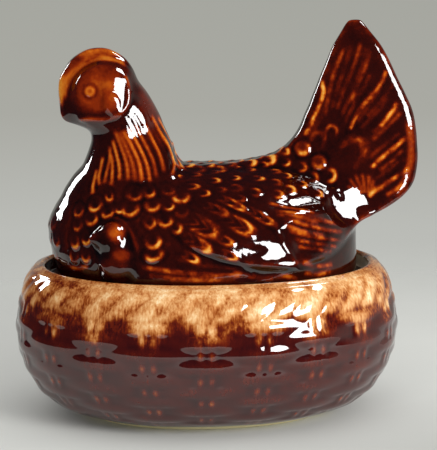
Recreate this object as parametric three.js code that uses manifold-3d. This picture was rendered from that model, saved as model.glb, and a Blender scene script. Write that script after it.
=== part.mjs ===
import * as THREE from "three";
import { mergeVertices } from "three/addons/utils/BufferGeometryUtils.js";
import Module from "manifold-3d";

// Hen on nest dish in brown-glazed stoneware: an oval dish, and a lid in the shape of a sitting hen.
// Millimetres, +Z up. The hen looks along -X, and the chick under her breast is on her -Y side.
// The sections work from the middle of the dish's foot, and the group then moves to the middle of the whole.

// Driving dimensions of the dish
const dishLength = 280;
const dishWidth = 208;
const dishHeight = 112;
const bellyHeight = 66;
const rimLength = 247;
const rimWidth = 170;
const rimLip = 5;
const lipRound = 1.7;
const footLength = 176;
const footWidth = 116;
const footRise = 4;
const footBand = 8;
const footRecess = 2;
const wall = 7;
const floorThickness = 8;
const seatDepth = 11;
const seatWidth = 14;
const seatThickness = 7;

// Driving dimensions of the hen
const tailTop = 287;
const headTop = 269.5;
const backRise = 83.5;
const tailReach = 155.7;
const tailThickness = 50;
const neckWidth = 60;
const beakReach = 105;
const beakHeight = 213.5;
const beakLength = 21;
const beakDeep = 32;
const beakWide = 17;
const chickLength = 30;
const chickHeight = 38;
const chickDepth = 24;
const chickHead = 20;
const chickBeakLong = 16;
const chickBeakWide = 8;
const wingLength = 128;
const wingHeight = 54;
const wingProud = 4;
const eyeWide = 7;
const eyeProud = 1.2;

// Driving dimensions of the fit between the lid and the dish
const rimGap = 9;
const flangeGap = 1.5;
const flangeDepth = 8;
const flangeWall = 6;
const seatGap = 0.3;
const overrun = 2;

// How squared each plan is: 2 is an ellipse
const dishPower = 2.1;
const bodyPower = 2.1;
const neckPower = 2;
const tailPower = 2.5;

const dishSides = 56;
const henSides = 42;
const pocketSides = 28;

const seatHeight = dishHeight - seatDepth;
const skirtHeight = seatHeight + seatGap;
const rimInnerLong = rimLength / 2 - rimLip;
const rimInnerWide = rimWidth / 2 - rimLip;
const seatInnerLong = rimInnerLong - seatWidth;
const seatInnerWide = rimInnerWide - seatWidth;
const skirtLong = rimInnerLong - rimGap;
const skirtWide = rimInnerWide - rimGap / 2;

const wasm = await Module();
wasm.setup();

// One horizontal outline between two ends, as a list of points
function oval({ z, front, back, half, power, sides }) {
  const middle = (front + back) / 2;
  const reach = (back - front) / 2;
  const points = [];
  for (let step = 0; step < sides; step += 1) {
    const angle = (step / sides) * Math.PI * 2;
    const along = Math.cos(angle);
    const across = Math.sin(angle);
    points.push([
      middle + reach * Math.sign(along) * Math.abs(along) ** (2 / power),
      half * Math.sign(across) * Math.abs(across) ** (2 / power),
      z,
    ]);
  }
  return points;
}

// A closed skin through outlines that have the same number of points, capped at both ends
function skin(outlines) {
  const sides = outlines[0].length;
  const positions = outlines.flat(2);
  const index = [];
  for (let ring = 0; ring + 1 < outlines.length; ring += 1) {
    for (let side = 0; side < sides; side += 1) {
      const a = ring * sides + side;
      const b = ring * sides + ((side + 1) % sides);
      index.push(a, b, b + sides, a, b + sides, a + sides);
    }
  }
  const lastRing = (outlines.length - 1) * sides;
  for (let side = 1; side + 1 < sides; side += 1) {
    index.push(0, side + 1, side);
    index.push(lastRing, lastRing + side, lastRing + side + 1);
  }
  const geometry = new THREE.BufferGeometry();
  geometry.setAttribute("position", new THREE.Float32BufferAttribute(positions, 3));
  geometry.setIndex(index);
  return geometry;
}

// A closed geometry as a solid for joining and cutting
function solid(geometry) {
  const bare = geometry.clone();
  bare.deleteAttribute("normal");
  bare.deleteAttribute("uv");
  const merged = mergeVertices(bare);
  return new wasm.Manifold(
    new wasm.Mesh({
      numProp: 3,
      vertProperties: merged.attributes.position.array,
      triVerts: new Uint32Array(merged.index.array),
    })
  );
}

// A stack of outlines as a solid
function stack(rows, power, sides) {
  return solid(skin(rows.map((row) => oval({ ...row, power, sides }))));
}

function meshOf(name, shape, material) {
  const { vertProperties, triVerts } = shape.getMesh();
  const geometry = new THREE.BufferGeometry();
  geometry.setAttribute("position", new THREE.BufferAttribute(vertProperties, 3));
  geometry.setIndex(new THREE.BufferAttribute(triVerts, 1));
  geometry.computeVertexNormals();
  const mesh = new THREE.Mesh(geometry, material);
  mesh.name = name;
  return mesh;
}

// Rows that step in by the wall, for the hollow inside them. A row too narrow to drain stays clay.
function hollowRows(rows) {
  return rows
    .filter((row) => row.half > wall + wall)
    .map((row) => ({ ...row, front: row.front + wall, back: row.back - wall, half: row.half - wall }));
}

// A round form from its middle and its three widths
function egg(middle, widths, roundSteps, tallSteps) {
  const ball = new THREE.SphereGeometry(1, roundSteps, tallSteps);
  ball.scale(...widths.map((width) => width / 2));
  ball.translate(...middle);
  return solid(ball);
}

// The dish's outside above the belly leans in to the rim, and below it turns in to the foot.
const upperBend = 1.6;
const lowerBend = 2;
function dishOutside(z, belly, rim, foot) {
  if (z >= bellyHeight) {
    const climb = (z - bellyHeight) / (dishHeight - bellyHeight);
    return rim + (belly - rim) * (1 - climb ** upperBend) ** (1 / upperBend);
  }
  const drop = (bellyHeight - z) / (bellyHeight - footRise);
  return foot + (belly - foot) * (1 - drop ** lowerBend) ** (1 / lowerBend);
}

function dishRow(z, inset) {
  const long = dishOutside(z, dishLength / 2, rimLength / 2, footLength / 2) - inset;
  const wide = dishOutside(z, dishWidth / 2, rimWidth / 2, footWidth / 2) - inset;
  return { z, front: -long, back: long, half: wide };
}

function plainRow(z, long, wide) {
  return { z, front: -long, back: long, half: wide };
}

// Heights are shares of the way from the foot to the belly, and from the belly to the rim.
const lowerShares = [0, 0.02, 0.07, 0.15, 0.27, 0.42, 0.6, 0.8];
const upperShares = [0, 0.25, 0.45, 0.62, 0.76, 0.88, 0.96];

function dishOuter() {
  const rows = [
    plainRow(0, footLength / 2 - footRise / 2, footWidth / 2 - footRise / 2),
    plainRow(footRise / 2, footLength / 2, footWidth / 2),
  ];
  for (const share of lowerShares) {
    rows.push(dishRow(footRise + share * (bellyHeight - footRise), 0));
  }
  for (const share of upperShares) {
    rows.push(dishRow(bellyHeight + share * (dishHeight - bellyHeight), 0));
  }
  rows.push(plainRow(dishHeight, rimLength / 2 - lipRound, rimWidth / 2 - lipRound));
  return stack(rows, dishPower, dishSides);
}

// The inside: the wall follows the belly, closes under the seat and opens again above it.
function dishHollow() {
  const seatUnder = seatHeight - seatThickness;
  const rows = [plainRow(floorThickness, footLength / 2 - wall, footWidth / 2 - wall)];
  for (const share of lowerShares.slice(2)) {
    const row = dishRow(footRise + share * (bellyHeight - footRise), wall);
    if (row.z > floorThickness) rows.push(row);
  }
  rows.push(dishRow(bellyHeight, wall));
  const shoulder = (bellyHeight + seatUnder) / 2;
  rows.push(dishRow(shoulder, wall));
  rows.push(plainRow(seatUnder, seatInnerLong, seatInnerWide));
  rows.push(plainRow(seatHeight + overrun, seatInnerLong, seatInnerWide));
  const rimOpening = stack(
    [
      plainRow(seatHeight, rimInnerLong, rimInnerWide),
      plainRow(dishHeight - lipRound, rimInnerLong, rimInnerWide),
      plainRow(dishHeight, rimInnerLong + lipRound, rimInnerWide + lipRound),
      plainRow(dishHeight + overrun, rimInnerLong + lipRound, rimInnerWide + lipRound),
    ],
    dishPower,
    dishSides
  );
  return stack(rows, dishPower, dishSides).add(rimOpening);
}

function footHollow() {
  const long = footLength / 2 - footBand;
  const wide = footWidth / 2 - footBand;
  return stack(
    [plainRow(-overrun, long, wide), plainRow(footRecess, long, wide)],
    dishPower,
    dishSides
  );
}

// The hen's body from the skirt to the back. Each row: share of the back's rise, then shares of
// half the skirt's length for its front and back, and of half its width.
const bodyShares = [
  [0, 1, 1, 1],
  [0.13, 1.01, 0.995, 1],
  [0.285, 1.045, 0.983, 0.99],
  [0.45, 1.062, 0.985, 0.95],
  [0.56, 1.047, 0.98, 0.89],
  [0.665, 1, 0.95, 0.8],
  [0.76, 0.952, 0.9, 0.68],
  [0.857, 0.9, 0.82, 0.53],
  [0.93, 0.86, 0.72, 0.37],
  [0.975, 0.78, 0.62, 0.22],
  [1, 0.7, 0.52, 0.08],
];

// Neck and head: share of the head's rise over the seat, shares of the beak's reach for the front
// and the nape, and of half the neck's width.
const neckShares = [
  [0.29, -0.95, 0.11, 1.5],
  [0.38, -0.985, -0.02, 1.36],
  [0.435, -0.93, -0.115, 1.22],
  [0.49, -0.862, -0.18, 1.12],
  [0.55, -0.823, -0.22, 1.02],
  [0.605, -0.794, -0.252, 0.93],
  [0.65, -0.806, -0.286, 0.84],
  [0.675, -0.89, -0.298, 0.79],
  [0.705, -0.94, -0.322, 0.77],
  [0.757, -0.98, -0.365, 0.77],
  [0.81, -1.012, -0.414, 0.76],
  [0.857, -1.012, -0.476, 0.73],
  [0.91, -0.962, -0.51, 0.64],
  [0.945, -0.914, -0.543, 0.52],
  [0.974, -0.85, -0.619, 0.34],
  [1, -0.78, -0.724, 0.12],
];

// Tail fan: share of the tail's rise over the seat, shares of the tail's reach for its leading and
// trailing edges, and of half its thickness. The leading edge runs out along the back.
const tailShares = [
  [0.18, 0.385, 0.64, 1.6],
  [0.22, 0.372, 0.75, 1.44],
  [0.247, 0.36, 0.82, 1.32],
  [0.274, 0.347, 0.88, 1.24],
  [0.317, 0.321, 0.945, 1.14],
  [0.366, 0.295, 0.974, 1.04],
  [0.414, 0.2, 0.99, 0.96],
  [0.452, 0.05, 0.998, 0.9],
  [0.472, 0.225, 1, 0.85],
  [0.493, 0.31, 0.999, 0.81],
  [0.515, 0.36, 0.994, 0.76],
  [0.55, 0.4, 0.985, 0.7],
  [0.6, 0.433, 0.975, 0.63],
  [0.65, 0.462, 0.963, 0.56],
  [0.726, 0.491, 0.932, 0.49],
  [0.801, 0.529, 0.88, 0.43],
  [0.866, 0.564, 0.831, 0.38],
  [0.93, 0.596, 0.787, 0.33],
  [0.973, 0.633, 0.745, 0.26],
  [1, 0.668, 0.706, 0.14],
];

// The body's rows, grown outwards for the wings that lie on it
function bodyRows(proud) {
  return bodyShares.map(([rise, front, back, half]) => ({
    z: skirtHeight + rise * backRise,
    front: -front * skirtLong - proud,
    back: back * skirtLong + proud,
    half: half * skirtWide + proud,
  }));
}

function neckRows() {
  return neckShares.map(([rise, front, back, half]) => ({
    z: skirtHeight + rise * (headTop - skirtHeight),
    front: front * beakReach,
    back: back * beakReach,
    half: (half * neckWidth) / 2,
  }));
}

function tailRows() {
  return tailShares.map(([rise, front, back, half]) => ({
    z: skirtHeight + rise * (tailTop - skirtHeight),
    front: front * tailReach,
    back: back * tailReach,
    half: (half * tailThickness) / 2,
  }));
}

// The beak is a flattened cone whose tip points forwards and down.
function beak() {
  const cone = new THREE.ConeGeometry(beakDeep / 2, beakLength, 20, 1);
  cone.scale(1, 1, beakWide / beakDeep);
  cone.translate(0, -beakLength / 2, 0);
  cone.rotateX(-Math.PI / 2);
  cone.rotateY(Math.PI / 4);
  cone.translate(-beakReach, 0, beakHeight);
  return solid(cone);
}

// The chick is half sunk in the hen's side. Its places are shares of half the skirt's length and
// width, and of the back's rise.
const chickBodyShares = [-0.645, -0.715, 0.35];
const chickHeadShares = [-0.665, -0.69, 0.555];
const chickBeakShares = [-0.765, -0.7, 0.57];

function chickPlace([along, side, rise]) {
  return [along * skirtLong, side * skirtWide, skirtHeight + rise * backRise];
}

function chick() {
  const body = egg(chickPlace(chickBodyShares), [chickLength, chickDepth, chickHeight], 18, 12);
  const head = egg(chickPlace(chickHeadShares), [chickHead, chickHead, chickHead], 16, 10);
  const tip = egg(chickPlace(chickBeakShares), [chickBeakLong, chickBeakWide, chickBeakWide], 10, 6);
  return body.add(head).add(tip);
}

// A wing is an even pad on the body: the grown body inside an oval column through one side.
const wingAlongShare = 0.3;
const wingRiseShare = 0.57;
const wingTilt = -0.14;

function wing(side) {
  const outline = new THREE.Shape();
  outline.absellipse(
    wingAlongShare * skirtLong,
    skirtHeight + wingRiseShare * backRise,
    wingLength / 2,
    wingHeight / 2,
    0,
    Math.PI * 2,
    false,
    wingTilt
  );
  const depth = skirtWide + wingProud + overrun;
  const column = new THREE.ExtrudeGeometry(outline, { depth, bevelEnabled: false, curveSegments: 18 });
  column.rotateX(Math.PI / 2);
  if (side > 0) column.translate(0, depth, 0);
  return stack(bodyRows(wingProud), bodyPower, henSides).intersect(solid(column));
}

// The eyes stand a little proud of the cheeks.
const eyeAlongShare = 0.815;
const eyeRiseShare = 0.83;
const cheekShare = 0.71;

function eye(side) {
  const height = skirtHeight + eyeRiseShare * (headTop - skirtHeight);
  const cheek = (cheekShare * neckWidth) / 2;
  const sunk = cheek + eyeProud - eyeWide / 2;
  return egg([-eyeAlongShare * beakReach, side * sunk, height], [eyeWide, eyeWide, eyeWide], 12, 8);
}

// The locating flange hangs under the skirt and drops inside the seat.
const flangeLong = seatInnerLong - flangeGap;
const flangeWide = seatInnerWide - flangeGap;

function flange() {
  return stack(
    [
      plainRow(skirtHeight - flangeDepth, flangeLong, flangeWide),
      plainRow(skirtHeight + wall, flangeLong, flangeWide),
    ],
    dishPower,
    henSides
  );
}

// The lid is cast hollow: the clay follows the outside at the wall's thickness.
function henHollow() {
  const mouthLong = flangeLong - flangeWall;
  const mouthWide = flangeWide - flangeWall;
  const mouth = stack(
    [
      plainRow(skirtHeight - flangeDepth - overrun, mouthLong, mouthWide),
      plainRow(skirtHeight + wall + wall, mouthLong, mouthWide),
    ],
    dishPower,
    pocketSides
  );
  const roof = (backRise - wall) / backRise;
  const bodyHollow = hollowRows(bodyRows(0).slice(1)).map((row) => ({
    ...row,
    z: skirtHeight + (row.z - skirtHeight) * roof,
  }));
  return mouth
    .add(stack(bodyHollow, bodyPower, pocketSides))
    .add(stack(hollowRows(neckRows()), neckPower, pocketSides))
    .add(stack(hollowRows(tailRows()), tailPower, pocketSides));
}

function nestDish() {
  return dishOuter().subtract(dishHollow()).subtract(footHollow());
}

function henLid() {
  return stack(bodyRows(0), bodyPower, henSides)
    .add(stack(neckRows(), neckPower, henSides))
    .add(stack(tailRows(), tailPower, henSides))
    .add(beak())
    .add(chick())
    .add(wing(1))
    .add(wing(-1))
    .add(eye(1))
    .add(eye(-1))
    .add(flange())
    .subtract(henHollow());
}

const dishGlaze = new THREE.MeshStandardMaterial({ color: "#5a2414", roughness: 0.2, metalness: 0 });
const henGlaze = new THREE.MeshStandardMaterial({ color: "#3c1206", roughness: 0.15, metalness: 0 });

// The tail overhangs the dish, so the whole moves until its middle is on the origin.
const group = new THREE.Group();
group.position.x = -(tailReach - dishLength / 2) / 2;
group.add(meshOf("nest_dish", nestDish(), dishGlaze));
group.add(meshOf("hen_lid", henLid(), henGlaze));

export default group;
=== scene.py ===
"""Hen on nest dish in brown-glazed stoneware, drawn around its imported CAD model."""

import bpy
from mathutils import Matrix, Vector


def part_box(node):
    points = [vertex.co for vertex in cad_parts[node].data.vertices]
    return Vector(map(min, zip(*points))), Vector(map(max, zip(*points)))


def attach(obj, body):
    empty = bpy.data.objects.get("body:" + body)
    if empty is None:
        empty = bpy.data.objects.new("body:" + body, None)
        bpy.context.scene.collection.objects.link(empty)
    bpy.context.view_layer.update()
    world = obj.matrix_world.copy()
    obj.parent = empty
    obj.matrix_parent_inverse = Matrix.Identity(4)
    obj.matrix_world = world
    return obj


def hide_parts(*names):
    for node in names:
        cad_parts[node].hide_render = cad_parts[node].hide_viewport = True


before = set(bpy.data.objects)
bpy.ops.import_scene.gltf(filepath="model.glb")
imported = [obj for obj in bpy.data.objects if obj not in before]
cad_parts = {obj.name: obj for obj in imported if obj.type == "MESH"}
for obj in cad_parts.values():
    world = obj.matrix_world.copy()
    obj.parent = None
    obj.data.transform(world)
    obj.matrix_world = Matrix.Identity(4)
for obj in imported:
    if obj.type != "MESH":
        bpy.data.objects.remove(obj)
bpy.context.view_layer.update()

import math

import bmesh
import bpy
import numpy as np
from mathutils import Vector
from mathutils.bvhtree import BVHTree
from mathutils.kdtree import KDTree

# Shapes are worked out in millimetres from the middle of the dish, and placed in metres.
MM = 0.001
dish_low, dish_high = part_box("nest_dish")
hen_low, hen_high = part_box("hen_lid")
DISH_MIDDLE = (dish_low.x + dish_high.x) / 2
DISH_LONG = (dish_high.x - dish_low.x) / 2 / MM
DISH_WIDE = (dish_high.y - dish_low.y) / 2 / MM
DISH_HEIGHT = dish_high.z / MM
TAIL_REACH = (hen_high.x - DISH_MIDDLE) / MM
TAIL_TOP = hen_high.z / MM
FLANGE_FOOT = hen_low.z / MM

# Dish: heights and half sizes of its outline
BELLY_HEIGHT = 66.0
RIM_LONG, RIM_WIDE = 123.5, 85.0
FOOT_LONG, FOOT_WIDE = 88.0, 58.0
FOOT_RISE = 4.0
FOOT_BAND = 8.0
FOOT_RECESS = 2.0
WALL = 7.0
RIM_LIP = 5.0
SEAT_HEIGHT = 101.0
SEAT_UNDER = 94.0
SEAT_LONG, SEAT_WIDE = 104.5, 66.0
FLOOR_HEIGHT = 8.0
UPPER_BEND = 1.6
LOWER_BEND = 2.0
OVAL_POWER = 2.1

# Hen: sizes that the shares below multiply
SKIRT_HEIGHT = 101.3
SKIRT_LONG, SKIRT_WIDE = 109.5, 75.5
BACK_TOP = 184.8
HEAD_TOP = 269.5
BEAK_REACH = 105.0
NECK_HALF = 30.0
TAIL_HALF = 25.0
NECK_POWER = 2.0
TAIL_POWER, TAIL_BACK_POWER = 6.0, 14.0
TAIL_FRONT_THINNER = 0.5
# The tail thins between these two shares of its half length, counted from its middle.
THINNER_SHARES = (0.3, -0.9)
FLANGE_LONG, FLANGE_WIDE = 103.0, 64.5
FLANGE_WALL = 6.0

# Each row: share of the rise, shares of the reach for the front and back, share of the half width.
BODY_SHARES = [
    [0, 1, 1, 1],
    [0.13, 1.01, 1.005, 1],
    [0.285, 1.045, 1, 0.99],
    [0.45, 1.062, 0.998, 0.95],
    [0.56, 1.047, 0.988, 0.89],
    [0.665, 1, 0.95, 0.8],
    [0.76, 0.952, 0.9, 0.68],
    [0.857, 0.9, 0.82, 0.53],
    [0.93, 0.86, 0.72, 0.37],
    [0.975, 0.78, 0.62, 0.22],
    [1, 0.7, 0.52, 0.08],
]
NECK_SHARES = [
    [0.29, -0.95, 0.11, 1.5],
    [0.38, -0.985, -0.02, 1.36],
    [0.435, -0.93, -0.115, 1.22],
    [0.49, -0.862, -0.18, 1.12],
    [0.55, -0.823, -0.22, 1.02],
    [0.605, -0.794, -0.252, 0.93],
    [0.65, -0.806, -0.286, 0.84],
    [0.675, -0.89, -0.298, 0.79],
    [0.705, -0.92, -0.322, 0.77],
    [0.757, -0.945, -0.365, 0.77],
    [0.81, -0.95, -0.414, 0.77],
    [0.857, -0.945, -0.476, 0.76],
    [0.9, -0.905, -0.5, 0.7],
    [0.93, -0.85, -0.54, 0.56],
    [0.953, -0.77, -0.6, 0.36],
    [0.966, -0.74, -0.66, 0.14],
]
TAIL_SHARES = [
    [0.18, 0.385, 0.57, 1.32],
    [0.207, 0.376, 0.645, 1.24],
    [0.242, 0.362, 0.73, 1.15],
    [0.276, 0.347, 0.822, 1.08],
    [0.311, 0.325, 0.893, 1.015],
    [0.347, 0.305, 0.94, 0.95],
    [0.382, 0.27, 0.965, 0.885],
    [0.418, 0.21, 0.974, 0.84],
    [0.44, 0.15, 0.978, 0.82],
    [0.455, 0.235, 0.98, 0.81],
    [0.472, 0.29, 0.98, 0.8],
    [0.49, 0.335, 0.98, 0.79],
    [0.526, 0.39, 0.976, 0.765],
    [0.562, 0.422, 0.974, 0.74],
    [0.598, 0.444, 0.968, 0.715],
    [0.634, 0.458, 0.961, 0.685],
    [0.67, 0.479, 0.948, 0.65],
    [0.706, 0.494, 0.927, 0.612],
    [0.742, 0.512, 0.907, 0.575],
    [0.778, 0.527, 0.884, 0.535],
    [0.814, 0.545, 0.865, 0.495],
    [0.85, 0.563, 0.845, 0.452],
    [0.887, 0.578, 0.822, 0.405],
    [0.923, 0.601, 0.794, 0.355],
    [0.959, 0.628, 0.757, 0.29],
    [0.985, 0.643, 0.735, 0.215],
    [0.996, 0.653, 0.723, 0.15],
    [1.003, 0.664, 0.712, 0.1],
]

# The camera stands 11 degrees above the level and a little to the hen's head side.
PICTURE_WIDE, PICTURE_HIGH = 437, 450
CAMERA_AROUND = math.radians(-6.0)
CAMERA_ABOVE = math.radians(11.2)
CAMERA_DISTANCE = 1450.0
CAMERA_LOOK = np.array([8.3, 0.0, 138.2])
MM_PER_PIXEL = 0.732
SENSOR = 36.0


def smooth_step(low, high, value):
    """Goes from 0 at low to 1 at high with level ends."""
    share = np.clip((value - low) / (high - low), 0.0, 1.0)
    return share * share * (3.0 - 2.0 * share)


def bell(value, middle, spread):
    """Is 1 at the middle and falls away on both sides."""
    return np.exp(-((value - middle) / spread) ** 2)


def faded_ends(share, start, end):
    """Is 1 along a path and falls to 0 over a share of each end."""
    return smooth_step(0, start, share) * smooth_step(1, 1 - end, share)


def unit(vector):
    return vector / np.linalg.norm(vector)


def compass(around, above):
    """The direction that lies so far round from the hen's near side, and so far above the level."""
    level = math.cos(above)
    return np.array([math.sin(around) * level, -math.cos(around) * level, math.sin(above)])


def camera_axes():
    """Where the camera stands, and its forward, right and up directions."""
    back = compass(CAMERA_AROUND, CAMERA_ABOVE)
    right = unit(np.cross(-back, [0.0, 0.0, 1.0]))
    return CAMERA_LOOK + CAMERA_DISTANCE * back, -back, right, np.cross(right, -back)


def placed(points):
    """Millimetres from the dish's middle as metres in the model's frame."""
    moved = np.asarray(points, dtype=float) * MM
    moved[..., 0] += DISH_MIDDLE
    return moved


def new_object(name, data):
    """An object in the scene with this mesh, light or lens."""
    made = bpy.data.objects.new(name, data)
    bpy.context.collection.objects.link(made)
    return made


def mesh_object(name, points, faces):
    """A smooth-shaded mesh object from points in millimetres."""
    mesh = bpy.data.meshes.new(name)
    faces = np.asarray(faces, dtype=np.int32)
    mesh.vertices.add(len(points))
    mesh.vertices.foreach_set("co", placed(points).astype(np.float32).ravel())
    mesh.loops.add(faces.size)
    mesh.loops.foreach_set("vertex_index", faces.ravel())
    mesh.polygons.add(len(faces))
    mesh.polygons.foreach_set("loop_start", np.arange(len(faces), dtype=np.int32) * faces.shape[1])
    mesh.update(calc_edges=True)
    mesh.validate()
    mesh.shade_smooth()
    return new_object(name, mesh)


def set_attribute(mesh, name, values):
    """One number for each point of the mesh, for its glaze to read."""
    layer = mesh.attributes.new(name, "FLOAT", "POINT")
    layer.data.foreach_set("value", np.asarray(values, dtype=np.float32))


# The hen's skin is found in a grid of distances.
CELL = 1.24
FIELD_LOW = np.array([-124.0, -86.0, 88.0])
FIELD_HIGH = np.array([162.0, 86.0, 293.0])
LEVEL_BLUR, BLUR_REACH = 2.2, 3
JOIN_REACH = 5.0
TAIL_JOIN_REACH = 9.0
COMB_JOIN_REACH = 1.6
CHICK_JOIN_REACH = 2.5
# The first keeps divisions clear of nought, and the second is further than any real gap.
LEAST, NO_GAP = 1e-6, 1e9


def grid_axes():
    """The grid's places along x, y and z, each shaped to spread over the others."""
    counts = np.ceil((FIELD_HIGH - FIELD_LOW) / CELL).astype(int) + 1
    along, across, up = [
        (FIELD_LOW[axis] + CELL * np.arange(counts[axis])).astype(np.float32) for axis in range(3)
    ]
    return along[:, None, None], across[None, :, None], up[None, None, :]


def eased_column(heights, levels, values):
    """A row value at every height, without corners at the rows."""
    reach = int(BLUR_REACH * LEVEL_BLUR / CELL)
    steps = np.arange(-reach, reach + 1)
    weights = np.exp(-0.5 * (steps * CELL / LEVEL_BLUR) ** 2)
    weights /= weights.sum()
    eased = sum(
        weight * np.interp(heights + step * CELL, levels, values)
        for weight, step in zip(weights, steps)
    )
    return eased.astype(np.float32)


def oval_share(along, across, power):
    """How far out a place is, where the oval's edge is 1."""
    return (np.abs(along) ** power + np.abs(across) ** power) ** (1 / power)


def stack_distance(rows, power, axes, front_thinner=0.0, back_power=None):
    """Distance from a stack of ovals, less than zero inside. Rows are height, front, back, half."""
    along, across, up = axes
    rows = np.array(rows, dtype=float)
    front, back, half = [eased_column(up[0, 0], rows[:, 0], rows[:, k]) for k in (1, 2, 3)]
    offset = along - (front + back) / 2
    forward = offset / ((back - front) / 2)
    half = half * (1 - front_thinner * smooth_step(*THINNER_SHARES, forward))
    share = oval_share(forward, across / half, np.where(offset > 0, back_power or power, power))
    span = np.sqrt(offset ** 2 + across ** 2)
    level = span - span / np.maximum(share, LEAST)
    slope = np.gradient(level, CELL, axis=2)
    return np.maximum(level / np.sqrt(1 + slope ** 2), up - rows[-1, 0]).astype(np.float32)


def egg_distance(middle, widths, axes):
    """Distance from a round form with three widths."""
    parts = [(axis - place) / (width / 2) for axis, place, width in zip(axes, middle, widths)]
    tight = [part / (width / 2) for part, width in zip(parts, widths)]
    near, slope = [np.sqrt(sum(part ** 2 for part in group)) for group in (parts, tight)]
    return (near * (near - 1) / np.maximum(slope, LEAST)).astype(np.float32)


def joined(one, other, reach):
    """Two distances as one form, with a fillet of about the reach."""
    overlap = np.maximum(reach - np.abs(one - other), 0.0) / reach
    return np.minimum(one, other) - overlap * overlap * reach / 4


def softened(field):
    """The field with a small blur along each axis, in which five places weigh 1, 4, 6, 4 and 1."""
    for axis in range(3):
        padding = [(2, 2) if k == axis else (0, 0) for k in range(3)]
        wide = np.pad(field, padding, mode="edge")
        count = field.shape[axis]
        parts = [np.take(wide, range(k, k + count), axis=axis) for k in range(5)]
        field = (parts[0] + parts[4] + 4 * (parts[1] + parts[3]) + 6 * parts[2]) / 16
    return field


def form_rows(shares, top, front_reach, back_reach, widest):
    """The rows of a form that stands on the skirt, in millimetres."""
    return [
        [SKIRT_HEIGHT + rise * (top - SKIRT_HEIGHT), front * front_reach, back * back_reach, half * widest]
        for rise, front, back, half in shares
    ]


# The beak is a blunt wedge that hangs from the face and thins towards its front.
BEAK_MIDDLE = (-93.5, 229.5)
BEAK_HALVES = (13.4, 14.6)
BEAK_POWER = 3.4
BEAK_FRONT_HALF = 3.4
BEAK_FLARE = 0.52

# The comb is a thin plate round the head's edge, which stands past the rounder face.
COMB_EDGE = [
    (61, 104), (59, 95), (58.5, 85), (60, 77), (64.5, 69), (70, 60.5), (78, 54), (88, 49), (99, 47.5),
    (108, 48.5), (115, 51.5), (122, 55.5), (127, 60), (131, 66), (132, 75), (112, 92), (85, 106), (68, 110),
    (61, 104),
]
COMB_THICK_HALF = 4.8
COMB_ROUND = 2.2
COMB_STEP = 3.0

# The chick's body, head and beak: the middle as shares of the skirt's half length, of its half width and of
# the back's rise, and the three widths
CHICK_FORMS = [
    ((-0.6, -0.705, 0.27), (32.0, 28.0, 34.0)),
    ((-0.655, -0.7, 0.46), (23.0, 24.0, 26.0)),
    ((-0.76, -0.715, 0.475), (12.0, 8.0, 8.0)),
]
CHICK_NECK_REACH = 5.0
# The room round the chick that feathers keep out of: its middle in the same shares, and half widths
CHICK_ROOM = ((-0.6, -0.705, 0.42), (17.0, 20.0, 26.0))


def beak_distance(axes):
    along, across, up = axes
    reach, rise = along - BEAK_MIDDLE[0], up - BEAK_MIDDLE[1]
    half = BEAK_FRONT_HALF + BEAK_FLARE * np.maximum(reach + BEAK_HALVES[0], 0.0)
    flat = oval_share(reach / BEAK_HALVES[0], rise / BEAK_HALVES[1], BEAK_POWER)
    return ((np.sqrt(flat ** 2 + (across / half) ** 2) - 1) * BEAK_HALVES[0] / 2).astype(np.float32)


def on_middle_plane(spot):
    """How far along and up a pixel's ray meets the plane that halves the hen."""
    start = camera_axes()[0]
    direction = pixel_direction(spot)
    return (start - direction * start[1] / direction[1])[[0, 2]]


def comb_distance(axes):
    """Distance from a flat plate with the comb's outline and rounded edges."""
    along, across, up = axes
    place = np.stack(np.broadcast_arrays(along[:, 0], up[0]), axis=-1)
    edge = [on_middle_plane(spot) for spot in eased_path(COMB_EDGE, COMB_STEP)]
    near = np.full(place.shape[:2], NO_GAP)
    inside = np.zeros(place.shape[:2], dtype=bool)
    for start, end in zip(edge, edge[1:]):
        run = end - start
        offset = place - start
        part = np.clip(offset @ run / (run @ run), 0, 1)
        near = np.minimum(near, np.linalg.norm(offset - part[..., None] * run, axis=2))
        spans = (start[1] > place[..., 1]) != (end[1] > place[..., 1])
        inside ^= spans & (offset[..., 0] * abs(run[1]) < offset[..., 1] * run[0] * np.sign(run[1]))
    flat = np.where(inside, -near, near)[:, None, :] + COMB_ROUND
    thick = np.abs(across) - COMB_THICK_HALF + COMB_ROUND
    beyond = np.hypot(np.maximum(flat, 0), np.maximum(thick, 0))
    return (beyond + np.minimum(np.maximum(flat, thick), 0) - COMB_ROUND).astype(np.float32)


def chick_place(shares):
    along, across, rise = shares
    height = SKIRT_HEIGHT + rise * (BACK_TOP - SKIRT_HEIGHT)
    return np.array([along * SKIRT_LONG, across * SKIRT_WIDE, height])


def chick_distance(axes):
    body, head, beak = [egg_distance(chick_place(shares), widths, axes) for shares, widths in CHICK_FORMS]
    return joined(joined(body, head, CHICK_NECK_REACH), beak, CHICK_NECK_REACH)


def hen_field(axes):
    """Distance from the whole hen, with her skirt running down past the seat."""
    body_rows = form_rows(BODY_SHARES, BACK_TOP, -SKIRT_LONG, SKIRT_LONG, SKIRT_WIDE)
    neck_rows = form_rows(NECK_SHARES, HEAD_TOP, BEAK_REACH, BEAK_REACH, NECK_HALF)
    tail_rows = form_rows(TAIL_SHARES, TAIL_TOP, TAIL_REACH, TAIL_REACH, TAIL_HALF)
    body = stack_distance(body_rows, OVAL_POWER, axes)
    neck = stack_distance(neck_rows, NECK_POWER, axes)
    tail = stack_distance(tail_rows, TAIL_POWER, axes, TAIL_FRONT_THINNER, TAIL_BACK_POWER)
    head = joined(joined(neck, beak_distance(axes), JOIN_REACH), comb_distance(axes), COMB_JOIN_REACH)
    bird = joined(joined(body, head, JOIN_REACH), tail, TAIL_JOIN_REACH)
    return softened(joined(bird, chick_distance(axes), CHICK_JOIN_REACH))


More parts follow.
